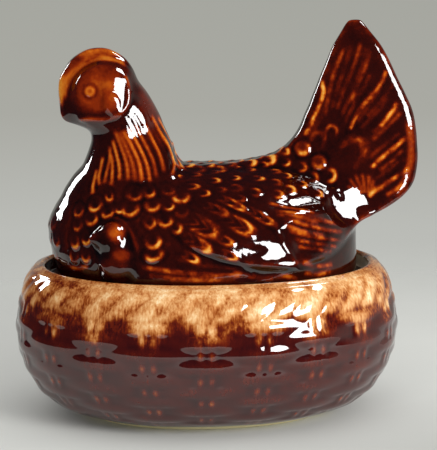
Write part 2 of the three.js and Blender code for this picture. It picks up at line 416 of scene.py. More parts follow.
CORNERS = np.array([[k >> 2 & 1, k >> 1 & 1, k & 1] for k in range(8)])
CELL_EDGES = [(a, b) for a in range(8) for b in range(a + 1, 8) if (a ^ b) in (1, 2, 4)]


def net_surface(field, low, cell):
    """Points and four-sided faces where the field passes zero."""
    inside = field < 0
    shape = np.array(field.shape) - 1

    def shifted(values, corner):
        return values[tuple(slice(c, c + n) for c, n in zip(corner, shape))]

    full = sum(shifted(inside, corner).astype(np.int8) for corner in CORNERS)
    crossed = (full > 0) & (full < 8)
    cells = np.argwhere(crossed)
    number = np.full(shape, -1, dtype=np.int64)
    number[crossed] = np.arange(len(cells))
    values = np.stack([field[tuple((cells + corner).T)] for corner in CORNERS])
    total = np.zeros((len(cells), 3))
    hits = np.zeros(len(cells))
    for a, b in CELL_EDGES:
        passes = (values[a] < 0) != (values[b] < 0)
        gap = np.where(passes, values[a] - values[b], 1.0)
        share = np.where(passes, values[a] / gap, 0.0)
        point = CORNERS[a] + share[:, None] * (CORNERS[b] - CORNERS[a])
        total += point * passes[:, None]
        hits += passes
    points = low + cell * (cells + total / hits[:, None])

    faces = []
    for axis in range(3):
        second, third = (axis + 1) % 3, (axis + 2) % 3
        before = np.take(inside, range(shape[axis]), axis=axis)
        after = np.take(inside, range(1, shape[axis] + 1), axis=axis)
        places = np.argwhere(before != after)
        places = places[(places[:, second] > 0) & (places[:, third] > 0)]
        places = places[(places[:, second] < shape[second]) & (places[:, third] < shape[third])]
        outward = before[tuple(places.T)]
        ring = []
        for back_second, back_third in ((1, 1), (0, 1), (0, 0), (1, 0)):
            corner = places.copy()
            corner[:, second] -= back_second
            corner[:, third] -= back_third
            ring.append(number[tuple(corner.T)])
        quads = np.stack(ring, axis=1)
        quads[~outward] = quads[~outward][:, ::-1]
        faces.append(quads)
    return points, np.concatenate(faces)


def sampled(field, low, cell, points):
    """The field between its grid places."""
    place = (points - low) / cell
    base = np.clip(np.floor(place).astype(int), 0, np.array(field.shape) - 2)
    share = place - base
    total = np.zeros(len(points))
    for corner in CORNERS:
        weight = np.prod(np.where(corner == 1, share, 1 - share), axis=1)
        total += weight * field[tuple((base + corner).T)]
    return total


def field_slope(field, low, cell, points):
    """The field's outward direction at each point."""
    slope = np.zeros_like(points)
    for axis in range(3):
        step = np.zeros(3)
        step[axis] = cell
        ahead = sampled(field, low, cell, points + step)
        slope[:, axis] = (ahead - sampled(field, low, cell, points - step)) / (2 * cell)
    return slope


def face_edges(faces):
    """Each pair of neighbouring points once."""
    pairs = np.concatenate([faces[:, [k, (k + 1) % 4]] for k in range(4)])
    return np.unique(np.sort(pairs, axis=1), axis=0)


def neighbour_mean(values, edges, rounds):
    """Values averaged again and again with their neighbours."""
    count = len(values)
    ends = np.concatenate([edges[:, 0], edges[:, 1]])
    others = np.concatenate([edges[:, 1], edges[:, 0]])
    degree = np.maximum(np.bincount(ends, minlength=count), 1)
    flat = values.reshape(count, -1).copy()
    for _ in range(rounds):
        for column in range(flat.shape[1]):
            total = np.bincount(ends, weights=flat[others, column], minlength=count)
            flat[:, column] = 0.5 * flat[:, column] + 0.5 * total / degree
    return flat.reshape(values.shape)


# Rounds in which the skin's points are evened and brought back to the form, and the least slope they reckon
# with
SKIN_ROUNDS, LEAST_STEEP = 3, 0.05


def hen_skin():
    """The hen's closed outer skin with its outward directions and its neighbours."""
    axes = grid_axes()
    shape = hen_field(axes)
    solid = np.maximum(shape, SKIRT_HEIGHT - axes[2])
    points, faces = net_surface(solid, FIELD_LOW, CELL)
    edges = face_edges(faces)
    for _ in range(SKIN_ROUNDS):
        points = neighbour_mean(points, edges, 1)
        slope = field_slope(solid, FIELD_LOW, CELL, points)
        steep = np.maximum((slope ** 2).sum(axis=1), LEAST_STEEP)
        points -= slope * (sampled(solid, FIELD_LOW, CELL, points) / steep)[:, None]
    outward = field_slope(shape, FIELD_LOW, CELL, points)
    outward /= np.maximum(np.linalg.norm(outward, axis=1), LEAST)[:, None]
    return shape, points, faces, edges, outward


# Places on the hen that the photograph shows are given in its pixels and cast on to her skin.
# Hackles: the ridges that fan down the neck, from the cheek to the breast
HACKLES = [
    [(97, 168), (94.5, 178), (92.5, 187), (92.5, 195)],
    [(103, 156), (100.5, 168), (98.5, 178), (99.5, 186)],
    [(110, 144), (109.5, 158), (106.5, 172), (103.5, 185)],
    [(111, 152), (112.5, 164), (112, 176), (111, 187)],
    [(112, 138), (116.5, 154), (119.5, 167), (119.5, 182)],
    [(114, 129), (120.5, 146), (126.5, 163), (128.5, 183)],
    [(118, 130), (127, 149), (133, 165), (135, 184)],
    [(122, 128), (132.5, 147), (139.5, 164), (142, 184)],
    [(127, 125), (139, 145), (147, 165), (150, 186)],
    [(134, 122), (146, 143), (153.5, 162), (156, 181)],
    [(144, 122), (154, 140), (160, 157), (163, 175)],
    [(150, 112), (160, 132), (168, 151), (172.5, 168), (170, 180)],
    [(158, 110), (167, 128), (174, 147), (180, 160)],
]
# Breast and shoulder scales: root, tip and width in pixels
BREAST_SCALES = [
    ((94, 196), (96, 212), 16), ((108, 202), (107, 219), 15), ((130, 199), (130, 217), 19),
    ((153, 196), (153, 212), 17), ((165, 201), (172, 211), 12), ((178, 206), (185, 219), 14),
    ((180, 188), (182, 205), 18), ((164, 184), (172, 195), 12), ((88, 211), (94, 225), 15),
    ((78, 203), (79, 218), 12), ((76, 217), (79, 231), 12), ((147, 215), (152, 229), 13),
    ((162, 212), (168, 228), 15), ((150, 232), (156, 249), 17), ((151, 246), (156, 262), 20),
    ((72, 233), (77, 249), 13), ((74, 249), (74, 263), 13), ((85, 249), (86, 263), 12),
    ((108, 189), (110, 202), 9), ((135, 186), (134, 201), 17), ((148, 184), (150, 198), 13),
    ((86, 231), (87, 246), 12), ((138, 219), (138, 233), 14), ((140, 236), (140, 251), 12),
    ((120, 203), (120, 214), 10), ((172, 222), (180, 234), 12),
]
# Saddle scales over the shoulder and back, with their tips towards the tail
SADDLE_SCALES = [
    ((187, 174), (202, 175), 9), ((180, 186), (200, 188), 11), ((195, 192), (210, 196), 11),
    ((205, 180), (221, 182), 11), ((207, 172), (220, 172), 7), ((226, 178), (241, 179), 10),
    ((225, 189), (243, 190), 12), ((240, 169), (256, 170), 8), ((248, 179), (265, 179), 11),
    ((246, 194), (261, 194), 13), ((267, 183), (282, 183), 12), ((265, 172), (281, 171), 10),
    ((262, 160), (276, 161), 7), ((256, 164), (269, 165), 8), ((281, 191), (296, 190), 14),
    ((268, 194), (284, 197), 13), ((280, 175), (292, 176), 11), ((279, 161), (291, 163), 10),
    ((294, 165), (307, 168), 12), ((305, 176), (319, 180), 13), ((295, 182), (308, 186), 11),
    ((322, 174), (337, 177), 15), ((311, 191), (323, 196), 13), ((279, 151), (290, 153), 9),
    ((186, 166), (202, 166), 6), ((226, 167), (241, 167), 6),
    ((231, 198), (246, 202), 10), ((213, 190), (226, 192), 9), ((186, 178), (178, 176), 6),
    ((297, 143), (309, 153), 16), ((312, 156), (325, 167), 15),
]
# Round tufts where the back meets the tail: middle and width
TUFTS = [((302, 149), 17), ((318, 162), 16)]
# Wing feathers: root, tip and width
WING_LEAVES = [
    ((196, 203), (229, 217), 11), ((208, 194), (247, 213), 10), ((236, 205), (274, 227), 11),
    ((178, 216), (219, 236), 20), ((212, 214), (255, 235), 17), ((176, 232), (212, 252), 13),
    ((210, 235), (234, 245), 9), ((214, 250), (238, 259), 9), ((176, 250), (200, 262), 9),
]
# The long flight feathers that run to the wing's tip
FLIGHTS = [
    [(266, 204), (296, 212), (322, 219)],
    [(272, 212), (298, 217), (336, 225)],
    [(274, 217), (296, 220), (318, 224)],
    [(279, 221), (308, 227), (342, 233)],
    [(281, 227), (303, 232), (326, 236)],
    [(284, 231), (312, 237), (344, 241)],
    [(292, 239), (312, 243), (338, 247)],
    [(296, 246), (314, 249), (332, 252)],
]
WING_RIDGE = [(270, 222), (277, 234), (284, 247), (291, 258), (297, 268)]
WING_UNDERLINE = [(167, 255), (184, 261), (204, 266), (230, 268), (255, 267)]
SKIRT_LINES = [
    [(140, 266), (160, 270), (185, 273), (215, 275), (250, 276)],
    [(146, 275), (175, 279), (210, 280), (240, 279)],
    [(230, 272), (262, 278), (286, 276), (300, 280)],
    [(300, 262), (316, 266), (334, 264)],
    [(302, 272), (318, 274), (332, 270)],
    [(66, 266), (78, 268), (90, 266)],
]
# Tail: how strong each quill shows and where it runs
QUILLS = [
    (1.0, [(304, 137), (312, 122), (319, 107), (323.5, 92), (321, 79)]),
    (0.45, [(324, 118), (328, 100), (332, 80), (338, 63), (345, 46)]),
    (0.35, [(336, 112), (343, 92), (350, 75), (357, 57), (361, 40)]),
    (0.4, [(346, 108), (354, 92), (362, 75), (368, 60), (371, 48)]),
    (1.0, [(349, 131), (354, 120), (359.5, 110), (366, 102), (373, 92)]),
    (0.65, [(369, 101), (376, 91), (382, 81), (387, 69)]),
    (0.35, [(366, 118), (376, 107), (386, 95), (394, 82)]),
    (1.0, [(379, 128), (386, 119.5), (392, 111), (398, 102)]),
    (0.45, [(371, 141), (382, 131), (393, 121), (402, 111)]),
    (1.1, [(370, 169), (380, 159.5), (391, 150.5), (401, 141.5), (407, 136)]),
    (0.5, [(378, 172), (388, 164), (397, 156), (405, 149)]),
    (0.9, [(380, 187.5), (390, 181), (399, 175), (409, 167)]),
    (0.7, [(368, 197), (375, 191.5), (384, 186)]),
    (0.5, [(385, 196), (395, 190), (404, 183)]),
    (0.3, [(309, 140), (318, 122), (326, 104), (331, 88)]),
    (0.26, [(330, 112), (336, 95), (341, 78), (347, 60), (351, 44)]),
    (0.26, [(341, 118), (349, 98), (357, 80), (364, 62), (367, 46)]),
    (0.3, [(340, 135), (348, 117), (356, 100), (364, 86), (372, 72)]),
    (0.32, [(356, 124), (363, 113), (371, 102), (380, 88)]),
    (0.3, [(360, 130), (370, 119), (381, 107), (390, 95)]),
    (0.32, [(372, 134), (382, 125), (391, 115), (400, 106)]),
    (0.28, [(368, 160), (378, 150), (390, 141), (402, 131)]),
    (0.32, [(375, 180), (385, 172.5), (395, 165), (406, 157)]),
    (0.28, [(372, 191), (383, 184), (394, 178), (405, 172)]),
]
TAIL_RIM = [
    (357, 25), (364, 32), (373, 43), (384, 62), (395, 84), (404, 105), (409.5, 125), (411, 145),
    (409.5, 165), (404, 182), (393, 196), (378, 204),
]
TAIL_RIM_LOW = [(408, 118), (411, 145), (409.5, 165), (404, 182), (393, 196)]
# Covert feathers at the tail's root, a feather tip above them and the shell beside them
COVERTS = [((338, 174), (362, 137), 30), ((312, 154), (322, 131), 17), ((328, 143), (334, 124), 14)]
TAIL_BLADE = [(351, 101), (353, 97), (355, 92)]
SHELL_ROOT, SHELL_RIB_SHARES = np.array([367, 203]), (0.3, 0.65, 1.0)
SHELL_RIBS = [(347, 185), (349, 178), (355, 174), (362, 173), (369, 174.5), (374, 179), (376, 186)]
SHELL_PATHS = [[SHELL_ROOT + (rib - SHELL_ROOT) * share for share in SHELL_RIB_SHARES] for rib in SHELL_RIBS]
# Head: the comb round its edge, the rim of the cheek and the eye
COMB = [
    (64.5, 102), (65, 92), (67.5, 82), (72.5, 74), (81, 66), (91, 60), (101, 58), (112, 59), (121, 62),
    (128, 66),
]
CHEEK_RIM = [
    (122, 72), (126.5, 80), (128.5, 90), (128.5, 100), (125, 109), (118.5, 115), (110, 118.5), (101, 119.5),
    (93, 118.5), (85, 118.5), (77, 120.5),
]
COMB_GROOVE = [(70.5, 101), (70, 94), (70.5, 86), (76, 74), (88.5, 66), (104, 63), (115, 65), (125, 71)]
# Narrow creases where the hackles start under the cheek
CREASES = [
    [(121, 124), (124, 130), (127, 137)], [(124, 120), (128, 127), (132, 135)],
    [(128, 117), (132, 124), (137, 132)], [(133, 113), (138, 121), (143, 129)],
]
EYE = (89.5, 91.5)
EARLOBE = ((112, 105), (9, 11))
CHICK_ARCH = [(101, 222), (108, 218), (118, 219), (126, 224), (132, 234), (137, 248), (139, 262)]

# Flat places in the mould: middle and half sizes in pixels, the turn to the right and the tilt up in
# degrees, and the share of the way to flat
FACETS = [
    ((86, 93), (25, 30), (-2, 6), 0.6),
    ((117, 96), (13, 18), (17, 10), 0.8),
    ((135, 124), (13, 15), (17, 11), 0.75),
    ((150, 162), (28, 27), (13, 29), 0.65),
    ((304, 230), (32, 17), (27, 4), 0.85),
    ((273, 251), (19, 10), (14, 16), 0.85),
    ((240, 252), (22, 5), (15, 16), 0.6),
    ((262, 273), (42, 6), (8, -8), 0.9),
    ((350, 204), (24, 17), (12, 14), 0.95),
    ((308, 203), (18, 5.5), (23, 44), 0.8),
    ((334, 198), (7, 6), (-10, 4), 0.8),
    ((365, 216), (9, 7), (-4, -4), 0.7),
]
# Where the glaze drained thin and fired lighter: middle and half sizes in pixels, and how thin
THIN_PLACES = [
    ((100, 90), (28, 26), 0.15), ((102, 96), (20, 18), 0.13), ((104, 76), (22, 9), 0.06),
    ((61.5, 90), (4, 16), 0.2), ((100, 53), (30, 5), 0.16), ((150, 120), (16, 40), 0.06),
]
CHICK_THIN = [((117, 233), (10, 9), 0.26), ((122, 255), (10, 6), 0.22), ((103, 246), (8, 16), -0.1)]


def pixel_direction(spot):
    """The camera's direction through a pixel of the picture."""
    _, forward, right, up = camera_axes()
    across = (spot[0] - PICTURE_WIDE / 2) * MM_PER_PIXEL / CAMERA_DISTANCE
    down = (spot[1] - PICTURE_HIGH / 2) * MM_PER_PIXEL / CAMERA_DISTANCE
    return unit(forward + right * across - up * down)


def cast(tree, spot):
    """The place on the skin that a pixel shows, or the nearest one where it just misses."""
    start = camera_axes()[0]
    direction = pixel_direction(spot)
    place = tree.ray_cast(Vector(start), Vector(direction))[0]
    if place is None:
        near = start + direction * CAMERA_DISTANCE
        for _ in range(NEAR_ROUNDS):
            place = tree.find_nearest(Vector(near))[0]
            near = start + direction * np.dot(np.array(place) - start, direction)
    return np.array(place)


def eased_path(spots, step):
    """A smooth path through the spots with points about a step apart."""
    spots = [np.array(spot, dtype=float) for spot in spots]
    spots = [2 * spots[0] - spots[1], *spots, 2 * spots[-1] - spots[-2]]
    path = []
    for before, start, end, after in zip(spots, spots[1:], spots[2:], spots[3:]):
        count = max(2, int(np.linalg.norm(end - start) / step))
        for share in np.arange(count) / count:
            path.append(0.5 * (
                2 * start + (end - before) * share
                + (2 * before - 5 * start + 4 * end - after) * share ** 2
                + (3 * start - before - 3 * end + after) * share ** 3
            ))
    return path + [spots[-2]]


MIRROR = np.array([1.0, -1.0, 1.0])
# Rounds in which a pixel's ray that misses the skin is brought nearer to it
NEAR_ROUNDS = 4
# Points of paths lie about this many pixels apart, and a line fades over this share of each end.
PATH_STEP = 4.0
LINE_ENDS = 0.12
# Lines and troughs, in shares of their width: how far out the skin is worked, and where an edge starts and
# ends; then the shares of the length over which a trough fades at its ends, and the thin glaze at both
LINE_REACH, TROUGH_FLAT, THIN_REACH, THIN_EDGE = 3, 0.3, 1.6, (1.5, 0.5)
TROUGH_ENDS, THIN_ENDS = (0.4, 0.2), (0.1, 0.1)

# Feathers, in shares of the way out from the middle to the edge: how far round them the skin is worked,
# where an edge or a lip starts and ends, or its middle and spread
FACING_LEAST = 0.2
SUNK_SPREAD, SUNK_EDGE = 2.2, (1.75, 1.15)
SCALE_SPREAD, SCALE_EDGE, SCALE_LEAN = 1.6, (1.28, 0.82), 0.3
SCALE_LIP, SCALE_LIP_FROM = (0.78, 0.22), (-0.1, 0.6)
SCALE_GLOW, SCALE_GLOW_FROM = (0.72, 0.3), (-0.6, 0.7)
LEAF_SPREAD, LEAF_EDGE, LEAF_LEAN, LEAF_POWER = 1.5, (1.25, 0.82), 0.25, 2.6
LEAF_LIP, LEAF_LIP_FROM = (0.8, 0.2), (-0.7, 0.7)
BARB_SPACING, BARB_SLANT, BARB_GLOW = 4.2, 0.55, 2.0
BARB_EDGE, BARB_GLOW_EDGE, BARB_GLOW_FROM = (0.95, 0.6), (1.0, 0.7), (-1.0, 0.2)
LEAF_QUILL_DEPTH, LEAF_QUILL_HALF, LEAF_QUILL_EDGE = 0.35, 0.9, (0.9, 0.5)
DOME_SPREAD, DOME_GROOVE, DOME_GROOVE_DEPTH = 1.5, (1.1, 0.2), 0.3
# Ovals given in pixels: how far round them the skin is worked and where their edge starts and ends
PLACE_SPREAD, PLACE_EDGE = 1.3, (1.25, 0.6)
FACET_SPREAD, FACET_EDGE, FACET_FACING, FACET_LEAN = 1.5, (1.4, 0.7), (0.5, 0.8), 0.3
FACET_LIMIT = 4.0


class Skin:
    """The hen's skin points and the height of the modelling on each, in millimetres."""

    def __init__(self, points, faces, outward):
        self.points = points
        self.outward = outward
        self.height, self.thin, self.drained = np.zeros((3, len(points)))
        self.tree = BVHTree.FromPolygons(points.tolist(), faces.tolist())

    def around(self, middle, reach):
        """The points within a box about the middle."""
        return np.flatnonzero(np.abs(self.points - middle).max(axis=1) < reach)

    def both_sides(self, spots, one_side=False):
        """The spots cast on to the near side, and their mirror image on the far side."""
        near = np.array([cast(self.tree, spot) for spot in spots])
        return [near] if one_side else [near, near * MIRROR]

    def petal_shares(self, root, tip, half_width, spread):
        """Shares along and across a feather for the points near it."""
        middle = (root + tip) / 2
        half_length = np.linalg.norm(tip - root) / 2
        chosen = self.around(middle, max(half_length, half_width) * spread)
        nearest = chosen[np.argmin(((self.points[chosen] - middle) ** 2).sum(axis=1))]
        normal = self.outward[nearest]
        along = unit((tip - root) - np.dot(tip - root, normal) * normal)
        chosen = chosen[self.outward[chosen] @ normal > FACING_LEAST]
        offset = self.points[chosen] - middle
        return chosen, offset @ along / half_length, offset @ np.cross(normal, along) / half_width

    def oval_shares(self, middle, halves, spread):
        """Offsets and shares of the way out, as the picture shows an oval, for the points near it."""
        chosen = self.around(middle, max(halves) * MM_PER_PIXEL * spread)
        offset = self.points[chosen] - middle
        return chosen, offset, np.hypot(offset[:, 0] / halves[0], offset[:, 2] / halves[1]) / MM_PER_PIXEL

    def sink(self, root, tip, half_width, depth):
        """Lowers the ground round a feather."""
        chosen, u, v = self.petal_shares(root, tip, half_width, SUNK_SPREAD)
        ground = -depth * smooth_step(*SUNK_EDGE, np.hypot(u, v))
        self.height[chosen] = np.minimum(self.height[chosen], ground)

    def lay(self, chosen, ground, top, edge, bare):
        """Lays a feather with this top over its sunk ground, and thins the glaze on it."""
        self.height[chosen] = np.maximum(self.height[chosen], -ground + (top + ground) * edge)
        self.thin[chosen] = np.maximum(self.thin[chosen], bare)

    def scale(self, root, tip, half_width, ground, lip, dish, bare):
        """A dished feather with a raised lip round its tip, where the glaze lies thin."""
        chosen, u, v = self.petal_shares(root, tip, half_width, SCALE_SPREAD)
        reach = np.hypot(u, v)
        raised = lip * bell(reach, *SCALE_LIP) * smooth_step(*SCALE_LIP_FROM, u)
        top = SCALE_LEAN * u + raised - dish * np.clip(1 - reach ** 2, 0, 1)
        glow = bell(reach, *SCALE_GLOW) * smooth_step(*SCALE_GLOW_FROM, u)
        self.lay(chosen, ground, top, smooth_step(*SCALE_EDGE, reach), bare * glow)

    def leaf(self, root, tip, half_width, ground, lip, barb, bare):
        """A long feather with a quill line, slanting barbs and a thinly glazed lip towards its tip."""
        chosen, u, v = self.petal_shares(root, tip, half_width, LEAF_SPREAD)
        half_length = np.linalg.norm(tip - root) / 2
        reach = oval_share(u, v, LEAF_POWER)
        lip_share = bell(reach, *LEAF_LIP) * smooth_step(*LEAF_LIP_FROM, u)
        run = u * half_length * BARB_SLANT + np.abs(v) * half_width
        wave = barb * np.cos(run * 2 * math.pi / BARB_SPACING)
        quill = bell(v * half_width, 0, LEAF_QUILL_HALF) * smooth_step(*LEAF_QUILL_EDGE, np.abs(u))
        top = LEAF_LEAN * u + lip * lip_share + wave * smooth_step(*BARB_EDGE, reach)
        top -= LEAF_QUILL_DEPTH * quill
        stripes = BARB_GLOW * np.maximum(wave, 0) * smooth_step(*BARB_GLOW_EDGE, reach)
        glow = bare * lip_share + stripes * smooth_step(*BARB_GLOW_FROM, u)
        self.lay(chosen, ground, top, smooth_step(*LEAF_EDGE, reach), glow)

    def dome(self, middle, radius, lift):
        """A round tuft with a groove round it."""
        chosen = self.around(middle, radius * DOME_SPREAD)
        reach = np.linalg.norm(self.points[chosen] - middle, axis=1) / radius
        height = lift * np.sqrt(np.clip(1 - reach ** 2, 0, 1))
        height -= DOME_GROOVE_DEPTH * bell(reach, *DOME_GROOVE)
        before = self.height[chosen]
        self.height[chosen] = np.where(reach < 1, np.maximum(before, height), before + height)

    def distance_to(self, path, reach):
        """The points near a path, how far they are from it and their share of its length."""
        low, high = path.min(axis=0), path.max(axis=0)
        chosen = self.around((low + high) / 2, (high - low).max() / 2 + reach)
        near = np.full(len(chosen), NO_GAP)
        share = np.zeros(len(chosen))
        for step, (start, end) in enumerate(zip(path, path[1:])):
            run = end - start
            offset = self.points[chosen] - start
            part = np.clip(offset @ run / max(run @ run, LEAST), 0, 1)
            gap = np.linalg.norm(offset - part[:, None] * run, axis=1)
            closer = gap < near
            near[closer] = gap[closer]
            share[closer] = (step + part[closer]) / (len(path) - 1)
        kept = near < reach
        return chosen[kept], near[kept], share[kept]

    def line(self, path, width, lift, ends=LINE_ENDS):
        """Adds a soft ridge along a path, or a groove where the lift is less than zero."""
        chosen, gap, share = self.distance_to(path, width * LINE_REACH)
        self.height[chosen] += lift * bell(gap, 0, width) * faded_ends(share, ends, ends)

    def band(self, path, half_width, edge, lift):
        """Raises a flat-topped band along a path."""
        chosen, gap, share = self.distance_to(path, half_width + edge)
        height = lift * smooth_step(half_width + edge, half_width, gap)
        height *= faded_ends(share, LINE_ENDS, LINE_ENDS)
        self.height[chosen] = np.maximum(self.height[chosen], height)

    def trough(self, path, reach, depth):
        """Lowers the ground along a path, less towards its ends."""
        chosen, gap, share = self.distance_to(path, reach)
        ground = -depth * smooth_step(reach, reach * TROUGH_FLAT, gap) * faded_ends(share, *TROUGH_ENDS)
        self.height[chosen] = np.minimum(self.height[chosen], ground)

    def thin_along(self, path, half_width, amount, broken=False):
        """Thins the glaze along a path, evenly or in stretches."""
        glow = self.thin if broken else self.drained
        chosen, gap, share = self.distance_to(path, half_width * THIN_REACH)
        amount = amount * smooth_step(*THIN_EDGE, gap / half_width) * faded_ends(share, *THIN_ENDS)
        glow[chosen] = np.maximum(glow[chosen], amount)

    def thin_place(self, spot, halves, amount, one_side=False):
        """Thins the glaze over an oval."""
        for middle in self.both_sides([spot], one_side):
            chosen, _, reach = self.oval_shares(middle[0], halves, PLACE_SPREAD)
            self.drained[chosen] += amount * smooth_step(*PLACE_EDGE, reach)

    def flatten(self, spot, halves, facing, share):
        """Moves a patch of skin towards a flat that faces the given way."""
        normal = compass(*np.radians(facing))
        for middle, side in zip(self.both_sides([spot]), (np.ones(3), MIRROR)):
            chosen, offset, reach = self.oval_shares(middle[0], halves, FACET_SPREAD)
            turned = self.outward[chosen] @ (normal * side)
            gap = -(offset @ (normal * side)) / np.maximum(turned, FACET_LEAN)
            gap = np.clip(gap, -FACET_LIMIT, FACET_LIMIT)
            kept = smooth_step(*FACET_EDGE, reach) * smooth_step(*FACET_FACING, turned)
            self.height[chosen] += share * kept * (gap - self.height[chosen])


# Heights of the modelling in millimetres, from what the mould shows under its thick glaze, and how thin the
# glaze lies on it
GROUND, LEAF_GROUND = 0.6, 0.18
HACKLE_WIDTH, HACKLE_LIFT, HACKLE_ENDS, HACKLE_THIN = 1.5, 0.85, 0.35, 0.46
HACKLE_TROUGH, HACKLE_BETWEEN_HALF, HACKLE_BETWEEN = 6.0, 2.4, 0.04
FLIGHT_WIDTH, FLIGHT_LIFT, FLIGHT_ENDS, FLIGHT_THIN = 1.5, 0.75, 0.28, 0.27
FLIGHT_TROUGH, FLIGHT_GROUND = 5.0, 0.42
QUILL_WIDTH, QUILL_LIFT, QUILL_THIN = 1.5, 0.2, 0.5
RIM_HALF, RIM_EDGE, RIM_LIFT = 1.6, 3.0, 0.12
WING_LIP, WING_BARB, WING_THIN = 0.2, 0.12, 0.38
COVERT_LIP, COVERT_BARB, COVERT_THIN = 0.12, 0.03, 0.3
TUFT_LIFT, TUFT_THIN = 1.2, 0.06
# Least and most of a scale's lip, dish and thin glaze, and of the thin glaze on a hackle
SCALE_RANGE = ((0.35, 0.25, 0.3), (0.8, 0.5, 0.54))
HACKLE_RANGE = (0.7, 1.15)
UNEVEN_FEATHERS = 17
# Scales lie flatter towards the front of the breast, between these two places along the hen.
FADE_FRONT, FADE_BACK, FADE_EASE, FADE_LEAST = -116.0, -92.0, 12.0, 0.5
# From the second place back the scales are the flatter and thinner glazed ones of the saddle.
SADDLE_PLACES = (-32.0, -8.0)
SADDLE_FLATTER, SADDLE_THINNER = 0.55, 0.3
EARLOBE_LIFT, EARLOBE_EDGE = 0.7, (1.15, 0.7)
EYE_REACH = 9.0
EYE_BALL, EYE_BALL_LIFT = (4.4, 2.8), 0.7
EYE_DIMPLE, EYE_DIMPLE_DEPTH = (2.4, 0.6), 0.3
EYE_GROOVE, EYE_GROOVE_DEPTH = (5.2, 1.1), 0.45
# The wing stands proud over a tilted oval, crisply below and softly above.
WING_MIDDLE, WING_HALF, WING_TILT = np.array([33.0, 148.9]), np.array([66.0, 28.0]), -0.14
WING_PROUD, WING_CRISP, WING_SOFT = 2.1, (1.06, 0.88), (1.25, 0.6)
WING_TURN, WING_OFF_BACK = (-0.1, 0.3), (12.0, 24.0)
# Rows of scales that the picture doesn't show: round the front of the breast and along the back
FRONT_ROWS = [(146, (0, 15)), (135, (-7.5, 7.5, 22)), (124, (0, 15))]
BACK_ROWS = [(0, (-24, -9, 6, 21, 36, 50)), (8, (-16, -1, 14, 29, 43)), (16, (-24, -9, 6))]
HIDDEN_HALF, HIDDEN_BACK_HALF = 6.5, 5.85
BEFORE_HEN, OVER_HEN = -300.0, 400.0
# A feather whose root is further than this from the middle has one like it on the other side.
OFF_MIDDLE = 1.0
# Lines that are drawn once the feathers are laid: the width and lift of a ridge or groove, the share of each
# end that fades, and the half width and amount of the thin glaze on it
LINES = [
    {"table": [COMB], "bare_half": 3.2, "bare": 0.47},
    {"table": [COMB_GROOVE], "width": 2.0, "lift": -0.1},
    {"table": CREASES, "width": 1.0, "lift": -0.5},
    {"table": [CHEEK_RIM], "width": 1.7, "lift": 1.0, "ends": 0.08, "bare_half": 1.5, "bare": 0.15},
    {"table": [TAIL_RIM_LOW], "bare_half": 2.6, "bare": 0.28},
    {"table": SHELL_PATHS, "width": 1.1, "lift": 0.3, "ends": 0.15, "bare_half": 1.0, "bare": 0.36},
    {"table": [TAIL_BLADE], "width": 1.6, "lift": 0.2, "bare_half": 1.6, "bare": 0.3},
    {"table": [WING_RIDGE], "width": 1.8, "lift": 0.6},
    {"table": [WING_UNDERLINE], "width": 1.7, "lift": 0.6, "ends": 0.2},
    {
        "table": SKIRT_LINES, "width": 1.8, "lift": 0.3, "ends": 0.2, "bare_half": 1.8, "bare": 0.3,
        "broken": True,
    },
    {"table": [CHICK_ARCH], "width": 1.8, "lift": 1.0, "ends": 0.2, "one_side": True},
]


def hidden_scales(skin):
    """Scales where the camera doesn't look, cast from the front and from above."""
    rows = []
    for height, places in FRONT_ROWS:
        for across in places:
            starts = [(BEFORE_HEN, across, height + step) for step in (HIDDEN_HALF, -HIDDEN_HALF)]
            rows.append((starts, (1, 0, 0), HIDDEN_HALF))
    for across, places in BACK_ROWS:
        for along in places:
            starts = [(along + step, across, OVER_HEN) for step in (-HIDDEN_HALF, HIDDEN_HALF)]
            rows.append((starts, (0, 0, -1), HIDDEN_BACK_HALF))
    feathers = []
    for starts, way, half_width in rows:
        root, tip = [np.array(skin.tree.ray_cast(Vector(start), Vector(way))[0]) for start in starts]
        feathers.append((root, tip, half_width))
        if abs(root[1]) > OFF_MIDDLE:
            feathers.append((root * MIRROR, tip * MIRROR, half_width))
    return feathers


def seen_feathers(skin, table):
    """Feathers given in pixels, on the near side and mirrored on the far side."""
    return [
        (*side, width * MM_PER_PIXEL / 2)
        for root, tip, width in table for side in skin.both_sides([root, tip])
    ]


def skin_paths(skin, table, one_side=False):
    """Paths given in pixels, on the near side and mirrored on the far side."""
    return [path for spots in table for path in skin.both_sides(eased_path(spots, PATH_STEP), one_side)]


def clear_of_chick(root, tip):
    """Whether a feather keeps off the chick."""
    middle, halves = CHICK_ROOM
    return np.linalg.norm(((root + tip) / 2 - chick_place(middle)) / halves) > 1


def draw_lines(
    skin, table, width=0, lift=0, ends=LINE_ENDS, bare_half=0, bare=0, broken=False, one_side=False,
):
    """Ridges or grooves along paths given in pixels, and the thin glaze on them."""
    for path in skin_paths(skin, table, one_side):
        if lift:
            skin.line(path, width, lift, ends)
        if bare:
            skin.thin_along(path, bare_half, bare, broken)


